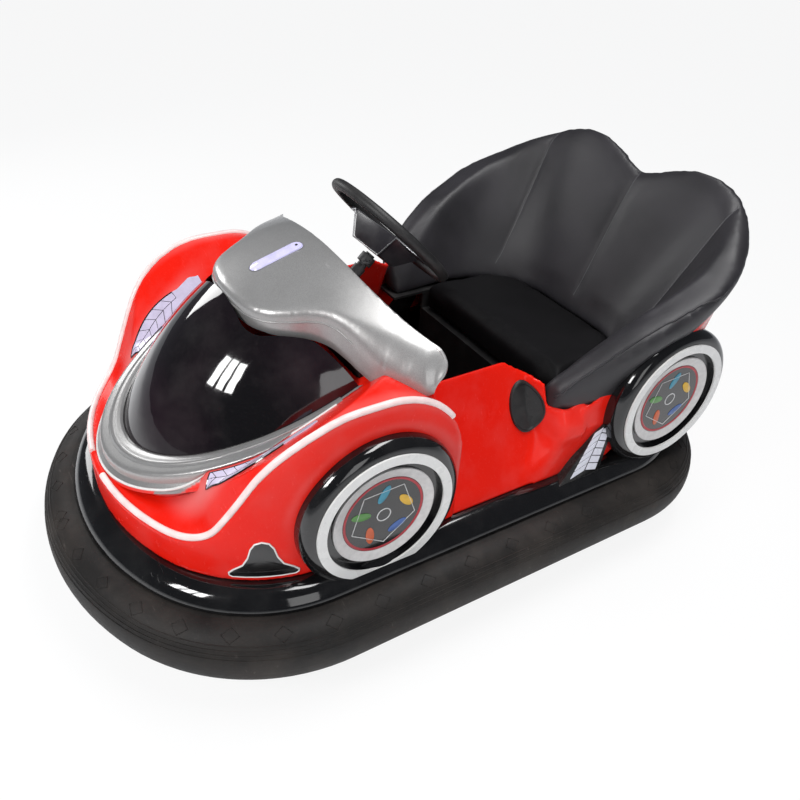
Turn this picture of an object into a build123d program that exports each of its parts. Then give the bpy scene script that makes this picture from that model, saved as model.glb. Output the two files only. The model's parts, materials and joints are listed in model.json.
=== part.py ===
"""Battery bumper car: a two-seat fairground car inside a rubber bumper ring.

Millimetres, +Z up. The origin is on the floor under the middle of the bounding box.
The nose points to -Y and the driver's left hand is on the +X side.
"""
from build123d import *
from math import atan2, cos, degrees, radians, sin, sqrt, tan
import os

os.makedirs("parts", exist_ok=True)

# ---- driving dimensions -------------------------------------------------------------------
LENGTH = 1950.0          # over the rubber
WIDTH = 1272.0           # over the rubber
NOSE_Y = -LENGTH / 2     # the front body is placed from here, the rear body from TAIL_Y
TAIL_Y = LENGTH / 2
HALF = WIDTH / 2         # and the sides from this half width
NOSE_RADIUS = 760.0      # plan arcs of the rubber's outer edge, nose to tail
SHOULDER_RADIUS = 520.0
CORNER_RADIUS = 420.0
TAIL_RADIUS = 1270.0
SEAT_GAP = 0.3           # clearance between seated pieces

RUBBER_BOTTOM = 95.0     # rubber ring
RUBBER_HEIGHT = 156.0
RUBBER_WIDTH = 165.0
RUBBER_ROUND = 74.0

SKIRT_OUT = 92.0         # insets from the rubber's outer edge, in plan
BODY_IN = 145.0
SKIRT_WALL = 6.0
SKIRT_TOP = 300.0
SKIRT_LIP = 8.0

RAIL_WIDTH = 40.0        # steel perimeter rail and cross tubes
RAIL_BOTTOM = 120.0
RAIL_HEIGHT = 50.0
CROSS_WIDTH = 50.0
FLOOR_THICK = 6.0

SHELL_WALL = 6.0         # moulded body shells
NOSE_LEDGE = 402.0       # flat top of the nose
FENDER_TOP = 724.0
FENDER_PEAK_Y = NOSE_Y + 630.0
FENDER_FLAT = 55.0       # level stretch behind the peak
FENDER_FOOT_RADIUS = 100.0
FENDER_RISE_RADIUS = 280.0
FENDER_RISE_ANGLE = 62.0
FENDER_TAIL_RADIUS = 220.0

SCREEN_PITCH = 23.3      # slope of the deck that the screen sits on, in degrees
DECK_NOSE_Y = NOSE_Y + 238.0  # a point of the deck on the middle line
DECK_NOSE_Z = 460.0
DECK_HALF = HALF - 306.0  # half width of the flat deck between the fender flanks
FLANK_RISE = 125.0
FLANK_WIDTH = 150.0

DOME_HALF_WIDTH = HALF - 311.0  # egg outline of the screen
DOME_HALF_LENGTH = 455.0
DOME_Y = NOSE_Y + 690.0
DOME_HEIGHT = 215.0
DOME_SINK = 0.72         # share of the cap's own height that lies below the deck
DOME_WALL = 5.0
COLLAR_SIDE = 46.0       # silver collar round the screen: width at the side and at the nose
COLLAR_NOSE = 62.0
COLLAR_PROUD = 8.0
LEG_OPENING_Y = NOSE_Y + 723.0  # the body is open behind this line, for the legs
LEG_OPENING_HALF = HALF - 336.0

COWL_RADIUS = 700.0      # arch of the cowl across the car
COWL_REAR_Z = 892.0      # crown of its rear edge
COWL_REAR_Y = NOSE_Y + 747.0
COWL_PITCH = 17.6
COWL_WALL = 10.0
COWL_LOW_RADIUS = 625.0  # the lip's lower edge lies on a level arch
COWL_LOW_Z = 772.0
COWL_OUTLINE = [         # x, y, corner radius of the right half, nose to tail
    (HALF - 486.0, NOSE_Y + 509.0, 75.0),
    (HALF - 404.0, NOSE_Y + 637.0, 110.0),
    (HALF - 241.0, NOSE_Y + 763.0, 90.0),
    (HALF - 162.0, NOSE_Y + 803.0, 22.0),
    (HALF - 168.0, NOSE_Y + 859.0, 16.0),
    (HALF - 306.0, NOSE_Y + 769.0, 160.0),
]

STRIP_WIDTH = 11.0       # light strips along the fender crests
STRIP_HEIGHT = 5.0
STRIP_NOSE_GAP = 60.0    # gap between the two strips at the nose
STRIP_END_Y = NOSE_Y + 800.0
LAMP_LENGTH = 138.0      # slot lamp on the cowl
LAMP_WIDTH = 36.0
LAMP_HEIGHT = 5.0
LAMP_Y = NOSE_Y + 653.0
HEADLAMP_IN = 4.0        # headlamp panels: gap to the collar, width and span
HEADLAMP_WIDTH = 58.0
HEADLAMP_Y = (NOSE_Y + 320.0, NOSE_Y + 545.0)
HEADLAMP_THICK = 4.0

WAIST_FOOT_X = HALF - 152.0  # sloping cockpit side
WAIST_TOP_X = HALF - 300.0
WAIST_TOP_Z = 615.0
WAIST_WALL = 8.0
WAIST_FLAT_Y = TAIL_Y - 820.0  # its top edge is level as far as this, then drops to the armrest
WAIST_DROP = 55.0
WAIST_END_Y = TAIL_Y - 675.0
REAR_FRONT_Y = TAIL_Y - 775.0  # front edge of the rear shell
REAR_EDGE_Z = 418.0      # its top edge there, the slope of that edge and its level end
REAR_EDGE_SLOPE = 0.65
REAR_EDGE_TOP = 815.0
REAR_FLARE_Z = 815.0     # at this height the shell's outline has these corners
REAR_FLARE_FRONT_X = HALF - 236.0
REAR_FLARE_CORNER = (HALF - 26.0, TAIL_Y - 115.0, 300.0)
REAR_FLARE_TAIL_Y = TAIL_Y - 13.0
RETURN_X = HALF - 256.0  # the return runs in and back from the front edge to here
RETURN_RUN = 75.0

WHEEL_COVER_RADIUS = 208.0   # dummy wheels on the body sides
WHEEL_COVER_DEPTH = 90.0
WHEEL_COVER_ROUND = 30.0
WHEEL_RING_RADIUS = 177.0
WHEEL_RING_WIDTH = 24.0
WHEEL_RING_PROUD = 5.0
WHEEL_DISH_DEPTH = 20.0
WHEEL_DISC_THICK = 8.0
WHEELS = [               # name, x of the tyre's outer face, y, z
    ("front", HALF - 107.0, NOSE_Y + 674.0, 438.0),
    ("rear", HALF - 96.0, TAIL_Y - 369.0, 474.0),
]

PORT_HALF_WIDTH = 56.0   # oval speaker ports in the cockpit sides
PORT_HALF_HEIGHT = 84.0
PORT_FLANGE = 5.0
PORT_Y = TAIL_Y - 797.0
PORT_Z = 487.0
PORT_THICK = 6.0
BADGE_ANGLE = -34.0      # badge plates: direction from the shoulder's centre, and size
BADGE_WIDTH = 160.0
BADGE_BOTTOM = 312.0
BADGE_HEIGHT = 98.0
BADGE_THICK = 3.0
SIDE_LAMP = [            # y, z of the leaf-shaped side lamps' corners
    (TAIL_Y - 663.0, 305.0),
    (TAIL_Y - 640.0, 375.0),
    (TAIL_Y - 603.0, 425.0),
    (TAIL_Y - 579.0, 440.0),
    (TAIL_Y - 575.0, 395.0),
    (TAIL_Y - 555.0, 345.0),
    (TAIL_Y - 541.0, 305.0),
]
SIDE_LAMP_THICK = 12.0

SEAT_INNER_SLOPE = 0.413 # recline of the seat back's face, mm back per mm up
SEAT_OUTER_SLOPE = 0.193
SEAT_INNER_FLARE = 0.35  # lean of the armrests' inner and outer sides, mm out per mm up
SEAT_OUTER_FLARE = 0.20
SEAT_BASE_Z = 450.0      # underside of the seat back and armrests
SEAT_LOFT_Z = 1010.0
SEAT_SPLIT_Y = TAIL_Y - 335.0  # armrests in front of this line
SEAT_TIP_Y = TAIL_Y - 729.0
SEAT_OUTER = [           # x, y, corner radius at SEAT_BASE_Z, right half
    (HALF - 206.0, SEAT_TIP_Y, 22.0),
    (HALF - 147.0, TAIL_Y - 555.0, 400.0),
    (HALF - 151.0, TAIL_Y - 133.0, 300.0),
]
SEAT_INNER = [
    (HALF - 288.0, SEAT_TIP_Y, 1.0),
    (HALF - 286.0, TAIL_Y - 575.0, 400.0),
    (HALF - 301.0, TAIL_Y - 272.0, 260.0),
]
SEAT_TOP_LINE = [        # y, z of the top edge seen from the side, tip to tail
    (TAIL_Y - 729.0, 560.0),
    (TAIL_Y - 621.0, 650.0),
    (TAIL_Y - 530.0, 710.0),
    (TAIL_Y - 430.0, 755.0),
    (TAIL_Y - 325.0, 800.0),
    (TAIL_Y - 235.0, 840.0),
    (TAIL_Y - 150.0, 905.0),
    (TAIL_Y - 70.0, 1000.0),
]
SEAT_CREST = [           # x, z of the top edge seen from the front, right half
    (0.0, 909.0),
    (60.0, 930.0),
    (161.0, 967.0),
    (HALF - 398.0, 979.0),
    (HALF - 299.0, 955.0),
    (HALF - 193.0, 893.0),
    (HALF - 16.0, 760.0),
]
SHELF_THICK = 8.0        # shelf that carries the seat back and armrests
CUSHION_FRONT_Y = TAIL_Y - 613.0
CUSHION_DEPTH = 352.0
CUSHION_HALF = HALF - 296.0
CUSHION_TOP = 494.0
CUSHION_THICK = 110.0
CUSHION_ROUND = 40.0
BASE_WALL = 8.0
BATTERY = (420.0, 270.0, 185.0)

RIM_RADIUS = 181.0       # steering wheel
RIM_TUBE = 14.0
RIM_CENTRE_Z = 869.0
RIM_CENTRE_Y = NOSE_Y + 975.0
COLUMN_TILT = 46.0       # column axis from the vertical, leaning back
HUB_TOP = (236.0, 132.0) # tapered hub box: driver's side, column side and depth
HUB_FOOT = (150.0, 84.0)
HUB_DEPTH = 78.0
SPOKE_WIDTH = 46.0
SPOKE_THICK = 12.0
COLUMN_RADIUS = 13.0
COLUMN_LENGTH = 560.0
JACKET_WALL = 4.0
JACKET_START = 120.0
JACKET_LENGTH = 240.0
DASH_THICK = 8.0
DASH_BOTTOM = 560.0

DRIVE_Y = NOSE_Y + 530.0  # swivelling drive unit under the nose
DRIVE_WHEEL_RADIUS = 100.0
DRIVE_WHEEL_WIDTH = 64.0
DRIVE_HUB_RADIUS = 58.0
FORK_GAP = 8.0
FORK_PLATE = 8.0
FORK_CROWN_Z = 212.0
KINGPIN_RADIUS = 16.0
KINGPIN_TOP = 340.0
MOTOR_RADIUS = 48.0
MOTOR_LENGTH = 80.0
SWIVEL_WALL = 12.0
AXLE_RADIUS = 10.0
BORE_GAP = 0.1
REAR_WHEEL_RADIUS = 80.0
REAR_WHEEL_WIDTH = 50.0
REAR_WHEEL_X = HALF - 336.0
REAR_WHEEL_Y = TAIL_Y - 415.0
REAR_HUB_RADIUS = 38.0
REAR_BAY_GAP = 35.0      # from the wheel to the cross tubes
HANGER_WIDTH = 10.0
HANGER_GAP = 6.0
BIG = 2000.0


# ---- plan outline --------------------------------------------------------------------------
def plan_face(inset, z=0.0):
    """The car's plan outline, moved in by inset, as a face at height z."""
    nose_c = (0.0, -LENGTH / 2 + NOSE_RADIUS)
    shoulder_x = WIDTH / 2 - SHOULDER_RADIUS
    shoulder_c = (shoulder_x,
                  nose_c[1] - sqrt((NOSE_RADIUS - SHOULDER_RADIUS) ** 2 - shoulder_x ** 2))
    tail_c = (0.0, LENGTH / 2 - TAIL_RADIUS)
    corner_x = WIDTH / 2 - CORNER_RADIUS
    corner_c = (corner_x, tail_c[1] + sqrt((TAIL_RADIUS - CORNER_RADIUS) ** 2 - corner_x ** 2))
    turn = degrees(atan2(shoulder_c[1] - nose_c[1], shoulder_c[0]))
    bend = degrees(atan2(corner_c[1] - tail_c[1], corner_c[0]))
    side = WIDTH / 2 - inset
    edges = [
        CenterArc(nose_c, NOSE_RADIUS - inset, -180 - turn, 180 + 2 * turn),
        CenterArc(shoulder_c, SHOULDER_RADIUS - inset, turn, -turn),
        Line((side, shoulder_c[1]), (side, corner_c[1])),
        CenterArc(corner_c, CORNER_RADIUS - inset, 0, bend),
        CenterArc(tail_c, TAIL_RADIUS - inset, bend, 180 - 2 * bend),
        CenterArc((-corner_c[0], corner_c[1]), CORNER_RADIUS - inset, 180 - bend, bend),
        Line((-side, corner_c[1]), (-side, shoulder_c[1])),
        CenterArc((-shoulder_c[0], shoulder_c[1]), SHOULDER_RADIUS - inset, 180, -turn),
    ]
    return Pos(0, 0, z) * make_face(edges)


def plan_block(inset, low, high):
    """The plan outline as a solid between two heights."""
    return extrude(plan_face(inset, low), amount=high - low)


def plan_ring(outer, inner, low, high):
    """A ring between two insets of the plan outline."""
    return plan_block(outer, low, high) - plan_block(inner, low - 1, high + 1)


def plan_taper(low_inset, low, high_inset, high):
    """A solid whose plan outline changes its inset between two heights."""
    return loft([plan_face(low_inset, low), plan_face(high_inset, high)], ruled=True)


def box(x, y, z):
    """A box from its three (low, high) ranges."""
    centre = [(a + b) / 2 for a, b in (x, y, z)]
    size = [b - a for a, b in (x, y, z)]
    return Pos(*centre) * Box(*size)


def corner_face(points, plane):
    """A face from (u, v, radius) corners, each rounded by its own radius."""
    path = FilletPolyline([p[:2] for p in points], radius=[max(p[2], 0.01) for p in points],
                          close=True)
    return plane * make_face(path.edges())


def inset(points, depth):
    """The same corners with every side moved in by depth, and their radii with them."""
    count = len(points)
    area = sum(points[i - 1][0] * points[i][1] - points[i][0] * points[i - 1][1]
               for i in range(count))
    sense = 1 if area > 0 else -1
    moved = []
    for i in range(count):
        (ax, ay, _), (bx, by, r), (cx, cy, _) = points[i - 1], points[i], points[(i + 1) % count]
        ux, uy, vx, vy = bx - ax, by - ay, cx - bx, cy - by
        lu, lv = sqrt(ux * ux + uy * uy), sqrt(vx * vx + vy * vy)
        ux, uy, vx, vy = ux / lu, uy / lu, vx / lv, vy / lv
        cross, dot = (ux * vy - uy * vx) * sense, ux * vx + uy * vy
        shift = depth / (1 + dot)
        x = bx + sense * shift * (-uy - vy)
        y = by + sense * shift * (ux + vx)
        moved.append((x, y, max(r - depth if cross > 0 else r + depth, 0.01)))
    return moved


def side_extrusion(face, half):
    """A face drawn in the Y-Z plane, as a solid from -half to +half along X."""
    return extrude(face, amount=half, both=True)


def mirrored(shape):
    """A piece's twin on the other side of the car."""
    return mirror(shape, about=Plane.YZ)


def save(shape, name):
    """One STEP file per node."""
    export_step(shape, f"parts/{name}.step")


# ---- front body ------------------------------------------------------------------------------
def fender_profile(grow=0.0):
    """Side view of the front body, in the Y-Z plane: ledge, rise, crest and rear end."""
    theta = radians(FENDER_RISE_ANGLE)
    foot = FENDER_FOOT_RADIUS - grow
    rise = FENDER_RISE_RADIUS + grow
    ledge = NOSE_LEDGE + grow
    top = FENDER_TOP + grow
    blend = (foot + rise) * (1 - cos(theta))
    run = (top - ledge - blend) / sin(theta)
    peak = FENDER_PEAK_Y
    foot_y = peak - rise * sin(theta) - run * cos(theta) - foot * sin(theta)
    foot_end = (foot_y + foot * sin(theta), ledge + foot * (1 - cos(theta)))
    rise_start = (peak - rise * sin(theta), top - rise * (1 - cos(theta)))
    tail_r = FENDER_TAIL_RADIUS + grow
    tail_c = (peak + FENDER_FLAT, top - tail_r)
    tail_y = tail_c[0] + tail_r
    low = SKIRT_TOP - grow
    edges = [
        Line((-LENGTH / 2, low), (-LENGTH / 2, ledge)),
        Line((-LENGTH / 2, ledge), (foot_y, ledge)),
        CenterArc((foot_y, ledge + foot), foot, -90, FENDER_RISE_ANGLE),
        Line(foot_end, rise_start),
        CenterArc((peak, top - rise), rise, 90 + FENDER_RISE_ANGLE, -FENDER_RISE_ANGLE),
        Line((peak, top), (tail_c[0], top)),
        CenterArc(tail_c, tail_r, 90, -90),
        Line((tail_y, tail_c[1]), (tail_y, low)),
        Line((tail_y, low), (-LENGTH / 2, low)),
    ]
    return Plane.YZ * make_face(edges)


def deck_z(y):
    """Height of the screen's deck on the middle line."""
    return DECK_NOSE_Z + (y - DECK_NOSE_Y) * tan(radians(SCREEN_PITCH))


def deck_trough(grow=0.0):
    """All that lies under the deck and the fender flanks, as one long solid."""
    y = -LENGTH / 2 - 50
    z = deck_z(y) + grow
    flank = DECK_HALF + FLANK_WIDTH
    points = [(-BIG, -BIG), (BIG, -BIG), (BIG, z + FLANK_RISE), (flank, z + FLANK_RISE),
              (DECK_HALF, z), (-DECK_HALF, z), (-flank, z + FLANK_RISE), (-BIG, z + FLANK_RISE)]
    wire = Polyline([(px, y, pz) for px, pz in points], close=True)
    pitch = radians(SCREEN_PITCH)
    return extrude(make_face(wire.edges()), amount=LENGTH, dir=(0, cos(pitch), sin(pitch)))


def front_solid(depth=0.0):
    """The front body as a full solid, or its inside when depth is the wall."""
    body = plan_block(BODY_IN + depth, SKIRT_TOP - 20, FENDER_TOP + 20)
    body = body & side_extrusion(fender_profile(-depth), WIDTH)
    return body & deck_trough(-depth)


def egg(side, nose, low, high):
    """Egg outline round the screen, grown by side and nose, as an upright solid."""
    face = Pos(0, DOME_Y, low) * make_face(Ellipse(DOME_HALF_WIDTH + side,
                                                    DOME_HALF_LENGTH + nose).edges())
    return extrude(face, amount=high - low)


def deck_slab(low, high):
    """A slab parallel to the deck, from low to high above it."""
    pitch = radians(SCREEN_PITCH)
    slab = Pos(0, 0, (low + high) / 2) * Box(BIG, BIG, high - low)
    return Pos(0, DECK_NOSE_Y, DECK_NOSE_Z) * Rot(degrees(pitch), 0, 0) * slab


def nose_shell():
    """Red front shell: nose, crests and flanks, open underneath and behind the screen."""
    inner = plan_block(BODY_IN + SHELL_WALL, SKIRT_TOP - 40, FENDER_TOP)
    inner = inner & side_extrusion(fender_profile(-SHELL_WALL), WIDTH)
    inner = inner & deck_trough(-SHELL_WALL)
    floor_cut = plan_block(BODY_IN + SHELL_WALL, SKIRT_TOP - 40, SKIRT_TOP + 2 * SHELL_WALL)
    tail = FENDER_PEAK_Y + FENDER_FLAT + FENDER_TAIL_RADIUS
    floor_cut = floor_cut & box((-BIG, BIG), (-BIG, tail - SHELL_WALL), (0, BIG))
    legs = box((-LEG_OPENING_HALF, LEG_OPENING_HALF), (LEG_OPENING_Y, 0), (0, BIG))
    return front_solid() - inner - floor_cut - legs


def cap(width, length, height):
    """A shallow cap over an ellipse, its edge in the X-Y plane."""
    full = height / (1 - DOME_SINK)
    sink = full * DOME_SINK
    spread = 1 / sqrt(1 - DOME_SINK ** 2)
    ball = scale(Sphere(1), by=(width * spread, length * spread, full))
    return Pos(0, 0, -sink) * ball


def windscreen_dome():
    """Black screen: a thin cap that stands on the deck inside its collar."""
    pitch = radians(SCREEN_PITCH)
    place = Pos(0, DOME_Y, deck_z(DOME_Y)) * Rot(degrees(pitch), 0, 0)
    length = DOME_HALF_LENGTH / cos(pitch)
    outer = cap(DOME_HALF_WIDTH, length, DOME_HEIGHT)
    inner = cap(DOME_HALF_WIDTH - DOME_WALL, length - DOME_WALL, DOME_HEIGHT - DOME_WALL)
    shell = place * ((outer - inner) & (Pos(0, 0, BIG / 2 + SEAT_GAP) * Box(BIG, BIG, BIG)))
    shell = shell & box((-BIG, BIG), (-BIG, LEG_OPENING_Y), (0, BIG))
    return shell - cowl_prism(-SEAT_GAP)


def nose_surround():
    """Silver collar round the screen, from the nose ledge up to the deck."""
    low = NOSE_LEDGE - 10
    ring = egg(COLLAR_SIDE, COLLAR_NOSE, low, FENDER_TOP)
    ring = ring & deck_slab(-BIG, COLLAR_PROUD)
    hole = egg(SEAT_GAP, SEAT_GAP, low - 10, FENDER_TOP + 10)
    ring = ring - hole - front_solid(-SEAT_GAP)
    return (ring & box((-BIG, BIG), (-BIG, LEG_OPENING_Y), (0, BIG))) - cowl_prism(-SEAT_GAP)


def cowl_face(shrink=0.0):
    """Plan outline of the cowl."""
    half = COWL_OUTLINE
    nose = (0.0, half[0][1])
    tail = (0.0, COWL_REAR_Y)
    left = [(-x, y, r) for x, y, r in reversed(half)]
    points = list(half) + [(tail[0], tail[1], 300.0)] + left
    return corner_face(inset(points, shrink), Plane.XY)


def cowl_arch(radius):
    """The inclined cylinder that the cowl's top follows, radius less its depth."""
    pitch = radians(COWL_PITCH)
    disc = Cylinder(radius, BIG, rotation=(90, 0, 0))
    place = Pos(0, COWL_REAR_Y, COWL_REAR_Z - COWL_RADIUS / cos(pitch)) * Rot(COWL_PITCH, 0, 0)
    return place * disc


def cowl_prism(shrink=0.0):
    """Upright prism over the cowl's outline."""
    return extrude(Pos(0, 0, NOSE_LEDGE) * cowl_face(shrink), amount=BIG)


def cowl():
    """Silver cowl over the dash: a crowned shell with a deep rolled lip, open at the rear."""
    hollow = cowl_prism(COWL_WALL)
    hollow = (hollow + Pos(0, 4 * COWL_WALL, 0) * hollow) & cowl_arch(COWL_RADIUS - COWL_WALL)
    under = Cylinder(COWL_LOW_RADIUS, BIG, rotation=(90, 0, 0))
    under = Pos(0, 0, COWL_LOW_Z - COWL_LOW_RADIUS) * under
    shell = (cowl_prism() & cowl_arch(COWL_RADIUS)) - hollow - under
    return shell - front_solid(-SEAT_GAP)


def dash_panel():
    """Black dash that closes the cowl's open rear, with the hole for the column's jacket."""
    start = LEG_OPENING_Y + SEAT_GAP
    half = LEG_OPENING_HALF - SEAT_GAP
    plate = box((-half, half), (start, start + DASH_THICK), (DASH_BOTTOM, BIG))
    plate = plate & cowl_arch(COWL_RADIUS - COWL_WALL - SEAT_GAP)
    return plate - column_place() * Cylinder(jacket_radius() + SEAT_GAP, BIG)


def cowl_lamp():
    """Slot lamp that lies along the cowl's middle."""
    slot = extrude(Pos(0, LAMP_Y, 0) * Rot(0, 0, 90) * SlotOverall(LAMP_LENGTH, LAMP_WIDTH),
                   amount=BIG)
    shell = cowl_arch(COWL_RADIUS + LAMP_HEIGHT) - cowl_arch(COWL_RADIUS + SEAT_GAP)
    return slot & shell


def light_strip():
    """White strip along the crest of the left fender, from the nose to the cowl."""
    ring = plan_ring(BODY_IN, BODY_IN + STRIP_WIDTH, NOSE_LEDGE - 5, FENDER_TOP + 20)
    low = side_extrusion(fender_profile(SEAT_GAP), WIDTH)
    high = side_extrusion(fender_profile(STRIP_HEIGHT), WIDTH)
    strip = ring & (high - low)
    return strip & box((STRIP_NOSE_GAP / 2, BIG), (-BIG, STRIP_END_Y), (0, BIG))


def headlamp():
    """Pale lamp panel on the deck beside the screen, left side."""
    inner = COLLAR_SIDE + HEADLAMP_IN
    ring = egg(inner + HEADLAMP_WIDTH, COLLAR_NOSE + HEADLAMP_IN + HEADLAMP_WIDTH, NOSE_LEDGE,
               BIG)
    ring = ring - egg(inner, COLLAR_NOSE + HEADLAMP_IN, 0, 2 * BIG)
    ring = ring & box((0, BIG), HEADLAMP_Y, (0, BIG))
    over = deck_trough(HEADLAMP_THICK) & side_extrusion(fender_profile(HEADLAMP_THICK), WIDTH)
    under = deck_trough(SEAT_GAP) & side_extrusion(fender_profile(SEAT_GAP), WIDTH)
    return ring & (over - under)


# ---- cockpit and rear body -------------------------------------------------------------------
def waist_panel():
    """Sloping red side of the cockpit, left side, with the hole for the speaker port."""
    lean = (WAIST_FOOT_X - WAIST_TOP_X) / (WAIST_TOP_Z - SKIRT_TOP)
    shift = WAIST_WALL * sqrt(1 + lean ** 2)
    start = FENDER_PEAK_Y + FENDER_FLAT + FENDER_TAIL_RADIUS + SEAT_GAP
    z0 = SKIRT_TOP + SEAT_GAP
    wire = Polyline([(WAIST_FOOT_X, start, z0), (WAIST_FOOT_X - shift, start, z0),
                     (WAIST_TOP_X - shift, start, WAIST_TOP_Z),
                     (WAIST_TOP_X, start, WAIST_TOP_Z)], close=True)
    wall = extrude(make_face(wire.edges()), amount=WAIST_END_Y - start, dir=(0, 1, 0))
    tip = SEAT_TIP_Y - SEAT_GAP
    shelf = SEAT_BASE_Z - SHELF_THICK - 2 * SEAT_GAP
    side = [(start, 0), (start, WAIST_TOP_Z), (WAIST_FLAT_Y, WAIST_TOP_Z),
            (tip, WAIST_TOP_Z - WAIST_DROP), (tip, shelf), (WAIST_END_Y, shelf),
            (WAIST_END_Y, 0)]
    wall = wall & side_extrusion(Plane.YZ * make_face(Polyline(side, close=True).edges()), BIG)
    return wall - port_prism(0, -2 * WAIST_WALL, 2 * WAIST_WALL)


def waist_point(z):
    """Outer face of the waist panel at a height."""
    share = (z - SKIRT_TOP) / (WAIST_TOP_Z - SKIRT_TOP)
    return WAIST_FOOT_X + (WAIST_TOP_X - WAIST_FOOT_X) * share


def port_prism(grow, start, end):
    """The speaker port's oval, square to the waist panel, between two depths from its face."""
    lean = degrees(atan2(WAIST_FOOT_X - WAIST_TOP_X, WAIST_TOP_Z - SKIRT_TOP))
    oval = make_face(Ellipse(PORT_HALF_HEIGHT + grow, PORT_HALF_WIDTH + grow).edges())
    place = Pos(waist_point(PORT_Z), PORT_Y, PORT_Z) * Rot(0, 90 - lean, 0)
    return place * extrude(Pos(0, 0, start) * oval, amount=end - start)


def speaker_port():
    """Black speaker grille in the waist panel: an oval plug with a thin flange."""
    plug = port_prism(-SEAT_GAP, -WAIST_WALL, SEAT_GAP + PORT_THICK)
    return plug + port_prism(PORT_FLANGE, SEAT_GAP, SEAT_GAP + PORT_THICK)


def rear_zone(grow=0.0):
    """Everything behind the rear shell's front edge and under its top edge."""
    end = LENGTH / 2 + 150
    low = SKIRT_TOP + SEAT_GAP
    level = REAR_FRONT_Y + (REAR_EDGE_TOP - REAR_EDGE_Z) / REAR_EDGE_SLOPE
    points = [(REAR_FRONT_Y - grow, low), (end, low), (end, REAR_EDGE_TOP + grow),
              (level, REAR_EDGE_TOP + grow), (REAR_FRONT_Y - grow, REAR_EDGE_Z + grow)]
    return side_extrusion(Plane.YZ * make_face(Polyline(points, close=True).edges()), BIG)


def rear_foot_outline():
    """Plan outline of the rear body's foot: the car's own outline behind the front edge."""
    side = WIDTH / 2 - BODY_IN
    tail_y = LENGTH / 2 - TAIL_RADIUS
    corner_x = WIDTH / 2 - CORNER_RADIUS
    corner_y = tail_y + sqrt((TAIL_RADIUS - CORNER_RADIUS) ** 2 - corner_x ** 2)
    bend = atan2(corner_y - tail_y, corner_x)
    radius = CORNER_RADIUS - BODY_IN
    join = (corner_x + radius * cos(bend), corner_y + radius * sin(bend))
    fall = cos(bend) / sin(bend)
    return [(side, REAR_FRONT_Y, 0), (side, join[1] - (side - join[0]) * fall, radius),
            (0, join[1] + join[0] * fall, TAIL_RADIUS - BODY_IN)]


def rear_taper(depth=0.0):
    """The rear body as a full solid, or its inside when depth is the wall."""
    foot = rear_foot_outline()
    top = [(REAR_FLARE_FRONT_X, REAR_FRONT_Y, 0), REAR_FLARE_CORNER,
           (0, REAR_FLARE_TAIL_Y, TAIL_RADIUS - BODY_IN)]
    faces = []
    for half, z in ((foot, SKIRT_TOP), (top, REAR_FLARE_Z + 2 * SEAT_GAP)):
        half = [(x, y - (60.0 if i == 0 else 0.0), r) for i, (x, y, r) in enumerate(half)]
        points = half + [(-x, y, r) for x, y, r in reversed(half[:-1])]
        faces.append(corner_face(inset(points, depth), Plane.XY.offset(z)))
    return loft(faces, ruled=True)


def waist_side(gap=0.0):
    """Half-space on the cabin's side of the waist panel's outer face, left side."""
    low, high = SKIRT_TOP - 200, WAIST_TOP_Z + 200
    wire = Polyline([(-BIG, -BIG, low), (waist_point(low) + gap, -BIG, low),
                     (waist_point(high) + gap, -BIG, high), (-BIG, -BIG, high)], close=True)
    return extrude(make_face(wire.edges()), amount=2 * BIG, dir=(0, 1, 0))


def rear_shell():
    """Red rear shell that flares out towards the seat, with a return at its front edge."""
    inner = rear_taper(SHELL_WALL)
    shell = (rear_taper() - inner) & rear_zone()
    side = WIDTH / 2 - BODY_IN
    points = [(side, REAR_FRONT_Y), (RETURN_X, REAR_FRONT_Y + RETURN_RUN),
              (RETURN_X, REAR_FRONT_Y + RETURN_RUN + SHELL_WALL),
              (side, REAR_FRONT_Y + SHELL_WALL)]
    shelf = SEAT_BASE_Z - SHELF_THICK - 2 * SEAT_GAP
    band = extrude(make_face(Polyline(points, close=True).edges()), amount=shelf)
    band = (band & inner & rear_zone()) - waist_side(SEAT_GAP)
    return shell + band + mirrored(band)


# ---- seat --------------------------------------------------------------------------------------
def seat_outline(table, flare, slope, z, forward=0.0, gap=0.0):
    """Closed plan outline of the seat's outer or inner side at a height, moved in by gap."""
    rise = z - SEAT_BASE_Z
    half = [(x + flare * rise, y + slope * rise * (y > SEAT_TIP_Y), r) for x, y, r in table]
    half[0] = (half[0][0], half[0][1] - forward, half[0][2])
    points = half + [(-x, y, r) for x, y, r in reversed(half)]
    return corner_face(inset(points, gap), Plane.XY.offset(z))


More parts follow.
